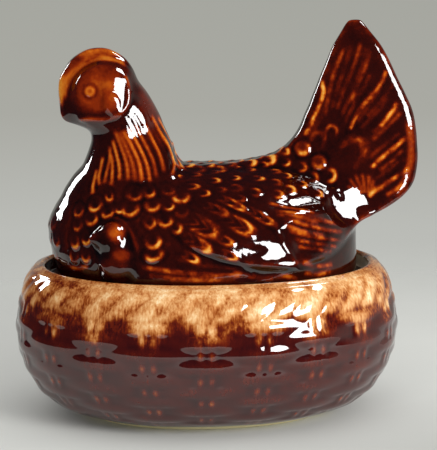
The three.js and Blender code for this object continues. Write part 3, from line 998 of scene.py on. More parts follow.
def model_feathers(skin):
    """Sinks the ground first, then draws the ridges, and lays the feathers over them."""
    maker = np.random.default_rng(UNEVEN_FEATHERS)
    scales = seen_feathers(skin, BREAST_SCALES + SADDLE_SCALES) + hidden_scales(skin)
    scales = [(root, tip, half_width) for root, tip, half_width in scales if clear_of_chick(root, tip)]
    leaves = seen_feathers(skin, WING_LEAVES)
    hackles = skin_paths(skin, HACKLES)
    for root, tip, half_width in scales:
        skin.sink(root, tip, half_width, GROUND * smooth_step(FADE_FRONT - FADE_EASE, FADE_BACK, root[0]))
    for leaf in leaves:
        skin.sink(*leaf, LEAF_GROUND)
    for path in hackles:
        skin.trough(path, HACKLE_TROUGH, GROUND)
        skin.thin_along(path, HACKLE_BETWEEN_HALF, HACKLE_BETWEEN)
    for path in skin_paths(skin, FLIGHTS):
        skin.trough(path, FLIGHT_TROUGH, FLIGHT_GROUND)
    for path in hackles:
        skin.line(path, HACKLE_WIDTH, HACKLE_LIFT, HACKLE_ENDS)
        skin.thin_along(path, HACKLE_WIDTH, HACKLE_THIN * maker.uniform(*HACKLE_RANGE))
    draw_lines(skin, FLIGHTS, FLIGHT_WIDTH, FLIGHT_LIFT, FLIGHT_ENDS, FLIGHT_WIDTH, FLIGHT_THIN, broken=True)
    for strength, spots in QUILLS:
        lift, bare = QUILL_LIFT * strength, QUILL_THIN * strength
        draw_lines(skin, [spots], QUILL_WIDTH, lift, LINE_ENDS, QUILL_WIDTH, bare, broken=True)
    for leaf in leaves:
        skin.leaf(*leaf, LEAF_GROUND, WING_LIP, WING_BARB, WING_THIN)
    for leaf in seen_feathers(skin, COVERTS):
        skin.leaf(*leaf, LEAF_GROUND, COVERT_LIP, COVERT_BARB, COVERT_THIN)
    for root, tip, half_width in scales:
        strength = FADE_LEAST + (1 - FADE_LEAST) * smooth_step(FADE_FRONT, FADE_BACK, root[0])
        saddle = smooth_step(*SADDLE_PLACES, root[0])
        lip, depth, bare = maker.uniform(*SCALE_RANGE) * strength
        flatter = 1 - SADDLE_FLATTER * saddle
        bare *= 1 + SADDLE_THINNER * saddle
        skin.scale(root, tip, half_width, GROUND * strength * flatter, lip * flatter, depth * flatter, bare)
    for spot, width in TUFTS:
        for side in skin.both_sides([spot]):
            skin.dome(side[0], width * MM_PER_PIXEL / 2, TUFT_LIFT)
        skin.thin_place(spot, (width / 2, width / 2), TUFT_THIN)


def model_face(skin):
    """The eye and the earlobe on both cheeks."""
    spot, halves = EARLOBE
    for middle in skin.both_sides([spot]):
        chosen, _, reach = skin.oval_shares(middle[0], halves, PLACE_SPREAD)
        skin.height[chosen] += EARLOBE_LIFT * smooth_step(*EARLOBE_EDGE, reach)
    for middle in skin.both_sides([EYE]):
        chosen = skin.around(middle[0], EYE_REACH)
        gap = np.linalg.norm(skin.points[chosen] - middle[0], axis=1)
        ball = EYE_BALL_LIFT * smooth_step(*EYE_BALL, gap) - EYE_DIMPLE_DEPTH * smooth_step(*EYE_DIMPLE, gap)
        skin.height[chosen] += ball - EYE_GROOVE_DEPTH * bell(gap, *EYE_GROOVE)


def wing_pad(points):
    """How far the wing lifts each point of the skin."""
    cosine, sine = math.cos(WING_TILT), math.sin(WING_TILT)
    place = (points[:, [0, 2]] - WING_MIDDLE) @ np.array([[cosine, -sine], [sine, cosine]]) / WING_HALF
    share = np.linalg.norm(place, axis=1)
    crisp, soft = smooth_step(*WING_CRISP, share), smooth_step(*WING_SOFT, share)
    lift = crisp + (soft - crisp) * smooth_step(*WING_TURN, place[:, 1])
    return WING_PROUD * lift * smooth_step(*WING_OFF_BACK, np.abs(points[:, 1]))


def oval_waves(angles):
    """Shares of an oval's half length and half width at each angle."""
    return [np.sign(wave) * np.abs(wave) ** (2 / OVAL_POWER) for wave in (np.cos(angles), np.sin(angles))]


def grid_faces(numbers):
    """Four-sided faces between the closed rings of a grid of point numbers."""
    after = np.roll(numbers, -1, axis=1)
    return np.stack([numbers[:-1], after[:-1], after[1:], numbers[1:]], axis=2).reshape(-1, 4)


def oval_block(name, rows):
    """A closed block through ovals, as a tool for cutting and joining."""
    along, across = oval_waves(np.arange(BLOCK_SIDES) * 2 * math.pi / BLOCK_SIDES)
    points = [
        np.stack([long * along, wide * across, np.full(BLOCK_SIDES, float(height))], axis=1)
        for height, long, wide in rows
    ]
    numbers = np.arange(len(rows) * BLOCK_SIDES).reshape(len(rows), BLOCK_SIDES)
    faces = [*grid_faces(numbers).tolist(), numbers[0][::-1].tolist(), numbers[-1].tolist()]
    mesh = bpy.data.meshes.new(name)
    mesh.from_pydata(placed(np.concatenate(points)).tolist(), [], faces)
    return new_object(name, mesh)


def combine(piece, tool, operation):
    """Joins the tool to the piece or cuts it away, and removes the tool."""
    step = piece.modifiers.new(operation, "BOOLEAN")
    step.operation = operation
    step.solver = "MANIFOLD"
    step.object = tool
    graph = bpy.context.evaluated_depsgraph_get()
    result = bpy.data.meshes.new_from_object(piece.evaluated_get(graph))
    piece.modifiers.remove(step)
    spent = piece.data
    piece.data = result
    bpy.data.meshes.remove(spent)
    bpy.data.objects.remove(tool)


# The flange, the mouth in it and the hollow over it
BLOCK_SIDES = 160
FLANGE_CHAMFER = 1.0
FLANGE_BITE = 2.0
HOLLOW_COARSE = 3
HOLLOW_INSET = 8.0
# The modelling starts this far over the skirt's foot, and is whole from the second height.
SKIRT_PLAIN = (1.0, 6.0)
# Rounds of averaging: of the flats, the modelling, the thin glaze on it, the places where glaze drained, and
# the skin that shows which clay stands proud
FACET_ROUNDS, MODEL_ROUNDS, THIN_ROUNDS, DRAINED_ROUNDS, PROUD_ROUNDS = 6, 2, 1, 2, 11
# How much thinner the glaze lies for each millimetre that the clay stands proud
THIN_FOR_PROUD = 0.42
# A point of the finished mesh this close to a skin point is that point.
SAME_POINT = 0.2
SHARP_EDGE = math.radians(70)


def modelled_skin():
    """The hen's skin with all its modelling, its faces, and how thin the glaze lies on each point."""
    shape, points, faces, edges, outward = hen_skin()
    skin = Skin(points, faces, outward)
    for facet in FACETS:
        skin.flatten(*facet)
    for place in THIN_PLACES:
        skin.thin_place(*place)
    for place in CHICK_THIN:
        skin.thin_place(*place, one_side=True)
    flats = neighbour_mean(skin.height, edges, FACET_ROUNDS)
    skin.height[:] = 0
    model_feathers(skin)
    model_face(skin)
    for path in skin_paths(skin, [TAIL_RIM]):
        skin.band(path, RIM_HALF, RIM_EDGE, RIM_LIFT)
    for line in LINES:
        draw_lines(skin, **line)
    settled = smooth_step(SKIRT_HEIGHT + SKIRT_PLAIN[0], SKIRT_HEIGHT + SKIRT_PLAIN[1], points[:, 2])
    height = neighbour_mean(skin.height, edges, MODEL_ROUNDS) + wing_pad(points)
    surface = points + outward * (height * settled)[:, None]
    proud = ((surface - neighbour_mean(surface, edges, PROUD_ROUNDS)) * outward).sum(axis=1)
    surface += outward * (flats * settled)[:, None]
    thin = (THIN_FOR_PROUD * proud + neighbour_mean(skin.thin, edges, THIN_ROUNDS)) * settled
    return shape, surface, faces, thin, neighbour_mean(skin.drained, edges, DRAINED_ROUNDS) * settled


def hollow_lid(piece, shape):
    """Joins the flange under the lid, and cuts its mouth and the hollow inside."""
    bottom = FLANGE_FOOT + FLANGE_CHAMFER
    flange = [
        (FLANGE_FOOT, FLANGE_LONG - FLANGE_CHAMFER, FLANGE_WIDE - FLANGE_CHAMFER),
        (bottom, FLANGE_LONG, FLANGE_WIDE), (SKIRT_HEIGHT + FLANGE_BITE, FLANGE_LONG, FLANGE_WIDE),
    ]
    long, wide = FLANGE_LONG - FLANGE_WALL, FLANGE_WIDE - FLANGE_WALL
    mouth = [
        (FLANGE_FOOT - FLANGE_BITE, long + FLANGE_CHAMFER, wide + FLANGE_CHAMFER),
        (bottom, long, wide), (SKIRT_HEIGHT + 2 * WALL, long, wide),
    ]
    coarse = shape[::HOLLOW_COARSE, ::HOLLOW_COARSE, ::HOLLOW_COARSE]
    up = grid_axes()[2][:, :, ::HOLLOW_COARSE]
    inner = np.maximum(coarse + HOLLOW_INSET, SKIRT_HEIGHT + WALL - up)
    hollow = mesh_object("hollow", *net_surface(inner, FIELD_LOW, CELL * HOLLOW_COARSE))
    combine(piece, oval_block("flange", flange), "UNION")
    combine(piece, oval_block("mouth", mouth), "DIFFERENCE")
    combine(piece, hollow, "DIFFERENCE")


def hen_piece():
    """The lid: her modelled skin, the flange under it and the hollow inside."""
    shape, surface, faces, thin, drained = modelled_skin()
    piece = mesh_object("glazed_hen", surface, faces)
    hollow_lid(piece, shape)
    tree = KDTree(len(surface))
    for number, place in enumerate(placed(surface)):
        tree.insert(place, number)
    tree.balance()
    mesh = piece.data
    values = np.zeros((2, len(mesh.vertices)))
    for vertex in mesh.vertices:
        _, number, gap = tree.find(vertex.co)
        if gap < SAME_POINT * MM:
            values[:, vertex.index] = thin[number], drained[number]
    set_attribute(mesh, "thin", values[0])
    set_attribute(mesh, "drained", values[1])
    mesh.shade_smooth()
    mesh.set_sharp_from_angle(angle=SHARP_EDGE)
    return piece


# The dish is a grid of ovals that runs from under the foot, up the belly, over the rim and inside.
DISH_SIDES = 510
BELLY_STEP, INSIDE_STEP, FLAT_STEP = 1.25, 6.0, 9.0
OUTLINE_POINTS, ROUND_POINTS = 400, 20001
HOLE_LONG = 2.0
# Steps out and up from an oval: the foot ring from its inner edge, then the seat from its wall to its edge
FOOT_STEPS = [
    (0.3 - FOOT_BAND, 0.4), (0.8 - FOOT_BAND, 0.0), (-2.4, 0.0), (-1.2, 0.3), (-0.2, 1.4), (0.0, 2.6),
]
SEAT_WALL_STEPS = [(0, 8), (0, 4), (0, 1.4), (-0.5, 0.4), (-1.6, 0), (-5, 0), (-9, 0)]
SEAT_EDGE_STEPS = [
    (1.4, 0), (0.4, -0.5), (0, -1.6), (0, SEAT_UNDER + 1 - SEAT_HEIGHT), (0.8, SEAT_UNDER - SEAT_HEIGHT),
]
# The rim rolls over in an arc, from just over where the outside ends.
OUTSIDE_END = 1.9
ROLL_MIDDLE, ROLL_OUT, ROLL_UP = 2.4, 2.5, 2.0
ROLL_TURNS = np.radians([20, 45, 70, 95, 120, 145, 170])
FLOOR_CURVE, FLOOR_INSET = 2.0, 5.0
# Weave: the stakes round the dish, which are a little uneven, and where the first stands
STAKES = 20
STAKE_UNEVEN = 0.083
STAKE_START = 0.27
# Rods stand in pairs this far from the middle of a stake, and lie a little lower than the strands over them.
ROD_GAP, ROD_HALF, ROD_LIFT, ROD_SUNK = 3.7, 2.9, 0.8, 0.35
NO_ROD = -9.0
# The glaze is thin where a rod shows, over part of its width and of a row's height.
ROD_THIN, ROD_BARED, ROD_BARED_HALF, ROW_BARED_HALF = 0.75, (0.1, 0.9), 2.1, 0.32
WEAVE_ROW, WEAVE_START, WEAVE_LIFT = 9.2, 57.2, 1.15
# A strand's half height as a share of its row, how much it bulges, and the depth of the gap under it
STRAND_HALF, STRAND_BULGE, STRAND_GAP = 0.56, 0.85, 0.6
BORDER_LOW, BORDER_HIGH = 89.0, 108.0
BORDER_LIFT, BORDER_GAP, BORDER_ROUND = 1.2, 0.3, 0.6
BORDER_PITCH_SHARE = 2.0
BORDER_LEAN = 0.055
BORDER_EASE, BORDER_STRONGER, BORDER_STRONGER_EASE, BORDER_THIN_EASE = 1.5, 0.5, 2.0, 6.0
# The weave fades out over these heights above the foot and under the rim.
FOOT_FADE, RIM_FADE = (2.0, 12.0), (1.5, 6.0)
# Slow waves round the dish: the least and most of each, how strong they are together, how many times each
# goes round and the number that starts their random draws
WAVE_RANGE, WAVE_STRENGTH = (0.4, 1.0), 1.4
FULL_TURN = 6.28
UNEVEN_LIFT, UNEVEN_WAVES, UNEVEN_CLAY = 0.25, (7, 11, 17), 5
WEAVE_ROUNDS, PROUD_WEAVE_ROUNDS = 3, 12
# The pale glaze ends at about this height, lower over the rods, and fades over this range round its edge.
CREAM_EDGE, CREAM_EDGE_RODS, CREAM_FADE = 86.5, 4.5, (-15, 8)
CREAM_EDGE_UNEVEN, CREAM_WAVES, UNEVEN_CREAM = 4.0, (3, 13, 29, 47, 83), 8
# The cream shows less towards both ends of the dish, most at the head's end, between these shares of its
# half length.
CREAM_WEAKER_ENDS = [(0.32, (-0.4, -0.95)), (0.25, (0.85, 0.97))]
BARE_FOOT = (5.2, 3.6)
# Painted light: a band under the rim on the inside, where the wall lies in shade, is painted paler towards
# the tail's end, with the bare clay's colour and roughness and with the cream.
INSIDE_PAINTED_LIGHT, PAINTED_LIGHT_ROWS, PAINTED_LIGHT_FROM, PAINTED_LIGHT_PALE_FROM = 0.6, 4, (-0.2, 0.9), (-0.2, 0.7)


def dish_outside(heights, belly, rim, foot):
    """Half a width of the dish at each height: it leans in to the rim and turns in to the foot."""
    climb = np.clip((heights - BELLY_HEIGHT) / (DISH_HEIGHT - BELLY_HEIGHT), 0, 1)
    drop = np.clip((BELLY_HEIGHT - heights) / (BELLY_HEIGHT - FOOT_RISE), 0, 1)
    upper = rim + (belly - rim) * (1 - climb ** UPPER_BEND) ** (1 / UPPER_BEND)
    lower = foot + (belly - foot) * np.sqrt(1 - drop ** LOWER_BEND)
    return np.where(heights >= BELLY_HEIGHT, upper, lower)


def run_lengths(points):
    """How far along a path each of its points lies."""
    return np.concatenate([[0], np.cumsum(np.linalg.norm(np.diff(points, axis=0), axis=1))])


def evened(rows, step):
    """Rows of long, wide and height spaced evenly along their run."""
    rows = np.array(rows, dtype=float)
    runs = run_lengths(rows)
    count = max(2, int(round(runs[-1] / step)) + 1)
    places = np.linspace(0, runs[-1], count)
    return np.stack([np.interp(places, runs, rows[:, k]) for k in range(3)], axis=1)


def outside_rows(inset, low, high, step):
    """Rows up the outside of the dish, or inset from it."""
    heights = np.linspace(low, high, OUTLINE_POINTS)
    long = dish_outside(heights, DISH_LONG, RIM_LONG, FOOT_LONG) - inset
    wide = dish_outside(heights, DISH_WIDE, RIM_WIDE, FOOT_WIDE) - inset
    return evened(np.stack([long, wide, heights], axis=1), step)


def stepped_rows(long, wide, height, steps):
    """Rows at steps out and up from an oval."""
    return np.array([(long + out, wide + out, height + rise) for out, rise in steps])


def flat_rows(long, wide, height):
    """Rows at one height from the small hole in the middle out to an oval."""
    return evened([(HOLE_LONG, HOLE_LONG * wide / long, height), (long, wide, height)], FLAT_STEP)


def dish_rows():
    """The dish's section as rows of long, wide and height, and which rows are the modelled outside."""
    under = flat_rows(FOOT_LONG - FOOT_BAND, FOOT_WIDE - FOOT_BAND, FOOT_RECESS)
    foot = stepped_rows(FOOT_LONG, FOOT_WIDE, 0, FOOT_STEPS)
    outer = outside_rows(0, FOOT_RISE, DISH_HEIGHT - OUTSIDE_END, BELLY_STEP)
    inner_long, inner_wide = RIM_LONG - RIM_LIP, RIM_WIDE - RIM_LIP
    roll = zip(ROLL_MIDDLE + ROLL_OUT * np.cos(ROLL_TURNS), ROLL_UP * (np.sin(ROLL_TURNS) - 1))
    lip = stepped_rows(inner_long, inner_wide, DISH_HEIGHT, roll)
    seat_wall = stepped_rows(inner_long, inner_wide, SEAT_HEIGHT, SEAT_WALL_STEPS)
    seat_edge = stepped_rows(SEAT_LONG, SEAT_WIDE, SEAT_HEIGHT, SEAT_EDGE_STEPS)
    inside_top = (BELLY_HEIGHT + SEAT_UNDER) / 2
    inside = outside_rows(WALL, FLOOR_HEIGHT + FLOOR_CURVE, inside_top, INSIDE_STEP)[::-1]
    floor = flat_rows(inside[-1][0] - FLOOR_INSET, inside[-1][1] - FLOOR_INSET, FLOOR_HEIGHT)[::-1]
    first = len(under) + len(foot)
    rows = np.concatenate([under, foot, outer, lip, seat_wall, seat_edge, inside, floor])
    return rows, first, first + len(outer)


def dish_angles():
    """Angles whose points lie evenly round the belly, from the middle of the front."""
    fine = np.linspace(0, 2 * math.pi, ROUND_POINTS) - math.pi / 2
    along, across = oval_waves(fine)
    runs = run_lengths(np.stack([along * DISH_LONG, across * DISH_WIDE], axis=1))
    places = np.arange(DISH_SIDES) / DISH_SIDES * runs[-1]
    return np.interp(places, runs, fine), places, runs[-1]


def uneven_wave(around, length, seed, waves):
    """A slow wave round the dish that joins up with itself, between about -1 and 1."""
    maker = np.random.default_rng(seed)
    total = np.zeros_like(around)
    for count in waves:
        size = maker.uniform(*WAVE_RANGE)
        total += size * np.sin(2 * math.pi * count * around / length + maker.uniform(0, FULL_TURN))
    return total / len(waves) * WAVE_STRENGTH


def weave_height(around, length, run):
    """The basket weave: paired rods with strands that pass before and behind them in turn."""
    turn = around / length
    phase = STAKES * turn + STAKE_START - STAKE_UNEVEN * np.sin(4 * math.pi * turn)
    row = run / WEAVE_ROW
    number = np.round(row)
    strand = np.sqrt(np.clip(1 - ((row - number) / STRAND_HALF) ** 2, 0, 1))
    bulge = 1 - STRAND_BULGE + STRAND_BULGE * np.cos(math.pi * (phase + number))
    woven = bulge * strand * WEAVE_LIFT - STRAND_GAP * (1 - strand)
    offset = (phase - np.round(phase)) * length / STAKES
    gap = np.minimum(np.abs(offset - ROD_GAP), np.abs(offset + ROD_GAP))
    rod = ROD_LIFT * np.sqrt(np.clip(1 - (gap / ROD_HALF) ** 2, 0, 1)) - ROD_SUNK
    rod_shown = np.where(gap < ROD_HALF, rod, NO_ROD)
    bared = smooth_step(*ROD_BARED, rod_shown - woven)
    bared = bared * bell(gap, 0, ROD_BARED_HALF) * bell(row, number, ROW_BARED_HALF)
    return np.maximum(woven, rod_shown), phase, bared


def border_height(phase, heights):
    """The twisted border under the rim: strands that lean over one another."""
    turn = phase * BORDER_PITCH_SHARE - (heights - BORDER_LOW) * BORDER_LEAN
    strand = np.abs(np.sin(math.pi * turn)) ** BORDER_ROUND
    middle, half = (BORDER_LOW + BORDER_HIGH) / 2, (BORDER_HIGH - BORDER_LOW) / 2
    share = np.sqrt(np.clip(1 - ((heights - middle) / half) ** 2, 0, 1))
    return BORDER_LIFT * strand * share - BORDER_GAP * (1 - share)


def blurred_round(values, rounds):
    """Values on the dish's grid, softened across and along."""
    for _ in range(rounds):
        beside = np.roll(values, 1, axis=1) + np.roll(values, -1, axis=1)
        padded = np.pad(values, ((1, 1), (0, 0)), mode="edge")
        values = (values * 2 + beside + padded[:-2] + padded[2:]) / 6
    return values


def dish_piece():
    """The nest dish with its weave, its border and where its pale glaze has run."""
    rows, first, last = dish_rows()
    angles, around, length = dish_angles()
    along, across = oval_waves(angles)
    ups = np.repeat(rows[:, 2:], len(angles), axis=1)
    points = np.stack([rows[:, :1] * along, rows[:, 1:2] * across, ups], axis=2)

    outer = points[first:last]
    heights = outer[:, :, 2]
    run = run_lengths(rows[first:last, 1:])
    run -= np.interp(WEAVE_START, rows[first:last, 2], run)
    weave, phase, bared = weave_height(around[None, :], length, run[:, None])
    border = border_height(phase, heights)
    above = heights - BORDER_LOW
    mixed = weave + (border - weave) * smooth_step(-BORDER_EASE, BORDER_EASE, above)
    mixed *= smooth_step(*FOOT_FADE, heights - FOOT_RISE) * smooth_step(*RIM_FADE, DISH_HEIGHT - heights)
    mixed += UNEVEN_LIFT * uneven_wave(around, length, UNEVEN_CLAY, UNEVEN_WAVES)
    mixed = blurred_round(mixed, WEAVE_ROUNDS)
    side_step = np.roll(outer, -1, axis=1) - np.roll(outer, 1, axis=1)
    outward = np.cross(side_step, np.gradient(outer, axis=0))
    outward /= np.linalg.norm(outward, axis=2)[:, :, None]
    points[first:last] = outer + outward * mixed[:, :, None]
    stronger = 1 + BORDER_STRONGER * smooth_step(-BORDER_STRONGER_EASE, BORDER_STRONGER_EASE, above)
    proud, bare = np.zeros((2, *points.shape[:2]))
    proud[first:last] = (mixed - blurred_round(mixed, PROUD_WEAVE_ROUNDS)) * stronger
    proud[first:last] += ROD_THIN * bared * smooth_step(0, -BORDER_THIN_EASE, above)

    # The pale glaze reaches lowest over the rods and stops short over the bulges between them.
    edge = CREAM_EDGE - CREAM_EDGE_RODS * np.cos(2 * math.pi * phase)
    edge = edge + CREAM_EDGE_UNEVEN * uneven_wave(around, length, UNEVEN_CREAM, CREAM_WAVES)
    pale = np.ones(points.shape[:2])
    pale[:last] = smooth_step(*CREAM_FADE, points[:last, :, 2] - edge)
    # Less cream towards the ends of the dish, which leaves them browner.
    for fainter, shares in CREAM_WEAKER_ENDS:
        pale *= 1 - fainter * smooth_step(*shares, along)
    inside = last + len(ROLL_TURNS)
    pale[inside:] = 0.0
    bare[:last] = smooth_step(*BARE_FOOT, points[:last, :, 2])
    # Painted light: the inside band under the rim is made paler towards the tail's end, where the wall lies
    # in shade.
    bare[inside:inside + PAINTED_LIGHT_ROWS] = INSIDE_PAINTED_LIGHT * smooth_step(*PAINTED_LIGHT_FROM, along)
    pale[inside:inside + PAINTED_LIGHT_ROWS] = smooth_step(*PAINTED_LIGHT_PALE_FROM, along)

    numbers = np.arange(proud.size).reshape(proud.shape)
    piece = mesh_object("glazed_nest_dish", points.reshape(-1, 3), grid_faces(numbers))
    close_ends(piece.data, numbers)
    for name, values in (("proud", proud), ("pale", pale), ("bare", bare)):
        set_attribute(piece.data, name, values.ravel())
    return piece


def close_ends(mesh, numbers):
    """Fills the small holes left in the middle of the floor and of the underside."""
    work = bmesh.new()
    work.from_mesh(mesh)
    work.verts.ensure_lookup_table()
    work.faces.new([work.verts[k] for k in reversed(numbers[0])])
    work.faces.new([work.verts[k] for k in numbers[-1]])
    bmesh.ops.recalc_face_normals(work, faces=work.faces)
    for face in work.faces:
        face.smooth = True
    work.to_mesh(mesh)
    work.free()


def colour(code):
    """A screen colour such as 5A2414 as the linear colour that a shader takes."""
    parts = [int(code[k:k + 2], 16) / 255 for k in (0, 2, 4)]
    linear = [part / 12.92 if part <= 0.04045 else ((part + 0.055) / 1.055) ** 2.4 for part in parts]
    return (*linear, 1.0)


def add_node(tree, kind, inputs=None, stops=None, **settings):
    """Adds a node with its settings, and sets or links its inputs."""
    made = tree.nodes.new(kind)
    for name, value in settings.items():
        setattr(made, name, value)
    for socket, value in (inputs or {}).items():
        if isinstance(value, bpy.types.NodeSocket):
            tree.links.new(value, made.inputs[socket])
        else:
            made.inputs[socket].default_value = value
    if stops:
        ramp = made.color_ramp.elements
        while len(ramp) < len(stops):
            ramp.new(0.5)
        for element, (place, code) in zip(ramp, stops):
            element.position = place
            element.color = colour(code)
    return made


def new_material(name):
    material = bpy.data.materials.new(name)
    material.use_nodes = True
    material.node_tree.nodes.clear()
    return material, material.node_tree


# Patterns in the glazes: their size in millimetres and how much fine detail they have. On the hen, patches
# where the dip ran thicker, specks, the stretches in which edges break amber, and ripples in the gloss.
# On the dish, clouds where the cream lay thicker, a grain, and ripples in the gloss.
HEN_PATTERNS = [(20.0, 3.0), (2.38095, 2.0), (8.0, 2.0), (7.69231, 2.0)]
DISH_PATTERNS = [(13.3333, 3.0), (2.08333, 2.0), (11.1111, 1.5)]
# Hair-like runs in the cream lie about this far apart, and are eight times as tall.
STREAK_SIZE, STREAK_SQUASH = 1.6129, 0.13
RIPPLE_DEPTH = 0.6
# Where each plain glaze lies on its run of colours, and what brings the mean of the dish's patterns to about
# nought
HEN_LEVEL, DISH_LEVEL, DISH_PATTERN_SHIFT = 0.1, 0.13, -0.93


def hen_glaze():
    """Brown stoneware glaze, dipped and fired: it pools nearly black and breaks amber over edges."""
    material, tree = new_material("treacle_brown_glaze")
    place = add_node(tree, "ShaderNodeTexCoord").outputs["Object"]
    thin, level = [
        add_node(tree, "ShaderNodeAttribute", attribute_name=name).outputs["Fac"]
        for name in ("thin", "drained")
    ]
    patches, specks, stretches, ripples = [
        add_node(tree, "ShaderNodeTexNoise", {
            "Vector": place, "Scale": 1 / (size * MM), "Detail": detail,
        }).outputs["Fac"] for size, detail in HEN_PATTERNS
    ]
    breaks = add_node(tree, "ShaderNodeMapRange", {
        "Value": stretches, "From Min": 0.36, "From Max": 0.64, "To Min": 0.4, "To Max": 1.35,
    }).outputs[0]
    for part, share in ((thin, breaks), (patches, 0.26), (specks, 0.12)):
        level = add_node(tree, "ShaderNodeMath", {
            0: part, 1: share, 2: level,
        }, operation="MULTIPLY_ADD").outputs[0]
    level = add_node(tree, "ShaderNodeMath", {0: level, 1: HEN_LEVEL}, operation="ADD").outputs[0]
    tint = add_node(tree, "ShaderNodeValToRGB", {"Fac": level}, [
        (0.08, "0A0203"), (0.22, "160403"), (0.34, "2E0703"), (0.46, "521002"), (0.58, "7E2604"),
        (0.72, "AE500D"), (0.86, "C97A22"), (1.0, "DDA04A"),
    ]).outputs["Color"]
    bump = add_node(tree, "ShaderNodeBump", {
        "Height": ripples, "Strength": 0.25, "Distance": RIPPLE_DEPTH * MM,
    })
    surface = add_node(tree, "ShaderNodeBsdfPrincipled", {
        "Base Color": tint, "Roughness": 0.05, "IOR": 1.65, "Normal": bump.outputs["Normal"],
    })
    add_node(tree, "ShaderNodeOutputMaterial", {"Surface": surface.outputs["BSDF"]})
    return material


def dish_glaze():
    """The same brown glaze with a cream one laid over the rim, which has run down in streaks."""
    material, tree = new_material("brown_glaze_with_run_cream_rim")
    place = add_node(tree, "ShaderNodeTexCoord").outputs["Object"]
    proud, pale, bare = [
        add_node(tree, "ShaderNodeAttribute", attribute_name=name).outputs["Fac"]
        for name in ("proud", "pale", "bare")
    ]
    squashed = add_node(tree, "ShaderNodeMapping", {
        "Vector": place, "Scale": (1.0, 1.0, STREAK_SQUASH),
    }).outputs[0]
    streaks = add_node(tree, "ShaderNodeTexNoise", {
        "Vector": squashed, "Scale": 1 / (STREAK_SIZE * MM), "Detail": 3.0, "Roughness": 0.6,
    }).outputs["Fac"]
    clouds, grain, ripples = [
        add_node(tree, "ShaderNodeTexNoise", {
            "Vector": place, "Scale": 1 / (size * MM), "Detail": detail,
        }).outputs["Fac"] for size, detail in DISH_PATTERNS
    ]
    uneven = DISH_PATTERN_SHIFT
    for part, share in ((streaks, 0.65), (clouds, 0.98), (grain, 0.24)):
        uneven = add_node(tree, "ShaderNodeMath", {
            0: part, 1: share, 2: uneven,
        }, operation="MULTIPLY_ADD").outputs[0]
    # The streaks show in the cream and along its ragged edge, and less in the plain brown below.
    covered = add_node(tree, "ShaderNodeMapRange", {
        "Value": pale, "From Max": 0.3, "To Min": 0.36,
    }).outputs[0]
    level = DISH_LEVEL
    for part, share in ((uneven, covered), (pale, 0.57), (proud, 0.32)):
        level = add_node(tree, "ShaderNodeMath", {
            0: part, 1: share, 2: level,
        }, operation="MULTIPLY_ADD").outputs[0]
    tint = add_node(tree, "ShaderNodeValToRGB", {"Fac": level}, [
        (0.0, "30090A"), (0.2, "440F0A"), (0.35, "641E0A"), (0.47, "8E4618"), (0.58, "B4703A"),
        (0.7, "CC9058"), (0.85, "E0B27C"), (1.0, "F0D8AE"),
    ]).outputs["Color"]
    # The pale clay colour shows on the bare foot, and as painted light on the inside band under the rim.
    clay = add_node(tree, "ShaderNodeMix", {
        "Factor": bare, 6: tint, 7: colour("DDD3A6"),
    }, data_type="RGBA").outputs[2]
    rough = add_node(tree, "ShaderNodeMapRange", {"Value": bare, "To Min": 0.06, "To Max": 0.7}).outputs[0]
    bump = add_node(tree, "ShaderNodeBump", {
        "Height": ripples, "Strength": 0.2, "Distance": RIPPLE_DEPTH * MM,
    })
    surface = add_node(tree, "ShaderNodeBsdfPrincipled", {
        "Base Color": clay, "Roughness": rough, "IOR": 1.7, "Normal": bump.outputs["Normal"],
    })
    add_node(tree, "ShaderNodeOutputMaterial", {"Surface": surface.outputs["BSDF"]})
    return material


# Stage: a pale table top that fades into the pale backdrop, with painted shade that makes it greyer towards
# its near right corner
TABLE_NEAR, TABLE_FAR, TABLE_SIDE = -380.0, 700.0, 420.0
TABLE_FADE_START = 60.0
TABLE_GREY, TABLE_PALE = -150.0, -300.0
TABLE_SHADE, TABLE_SHADE_RIGHT, TABLE_SHADE_NEAR = (130.0, 280.0), 0.9, -1.3
CARD_GRAIN = 111.111


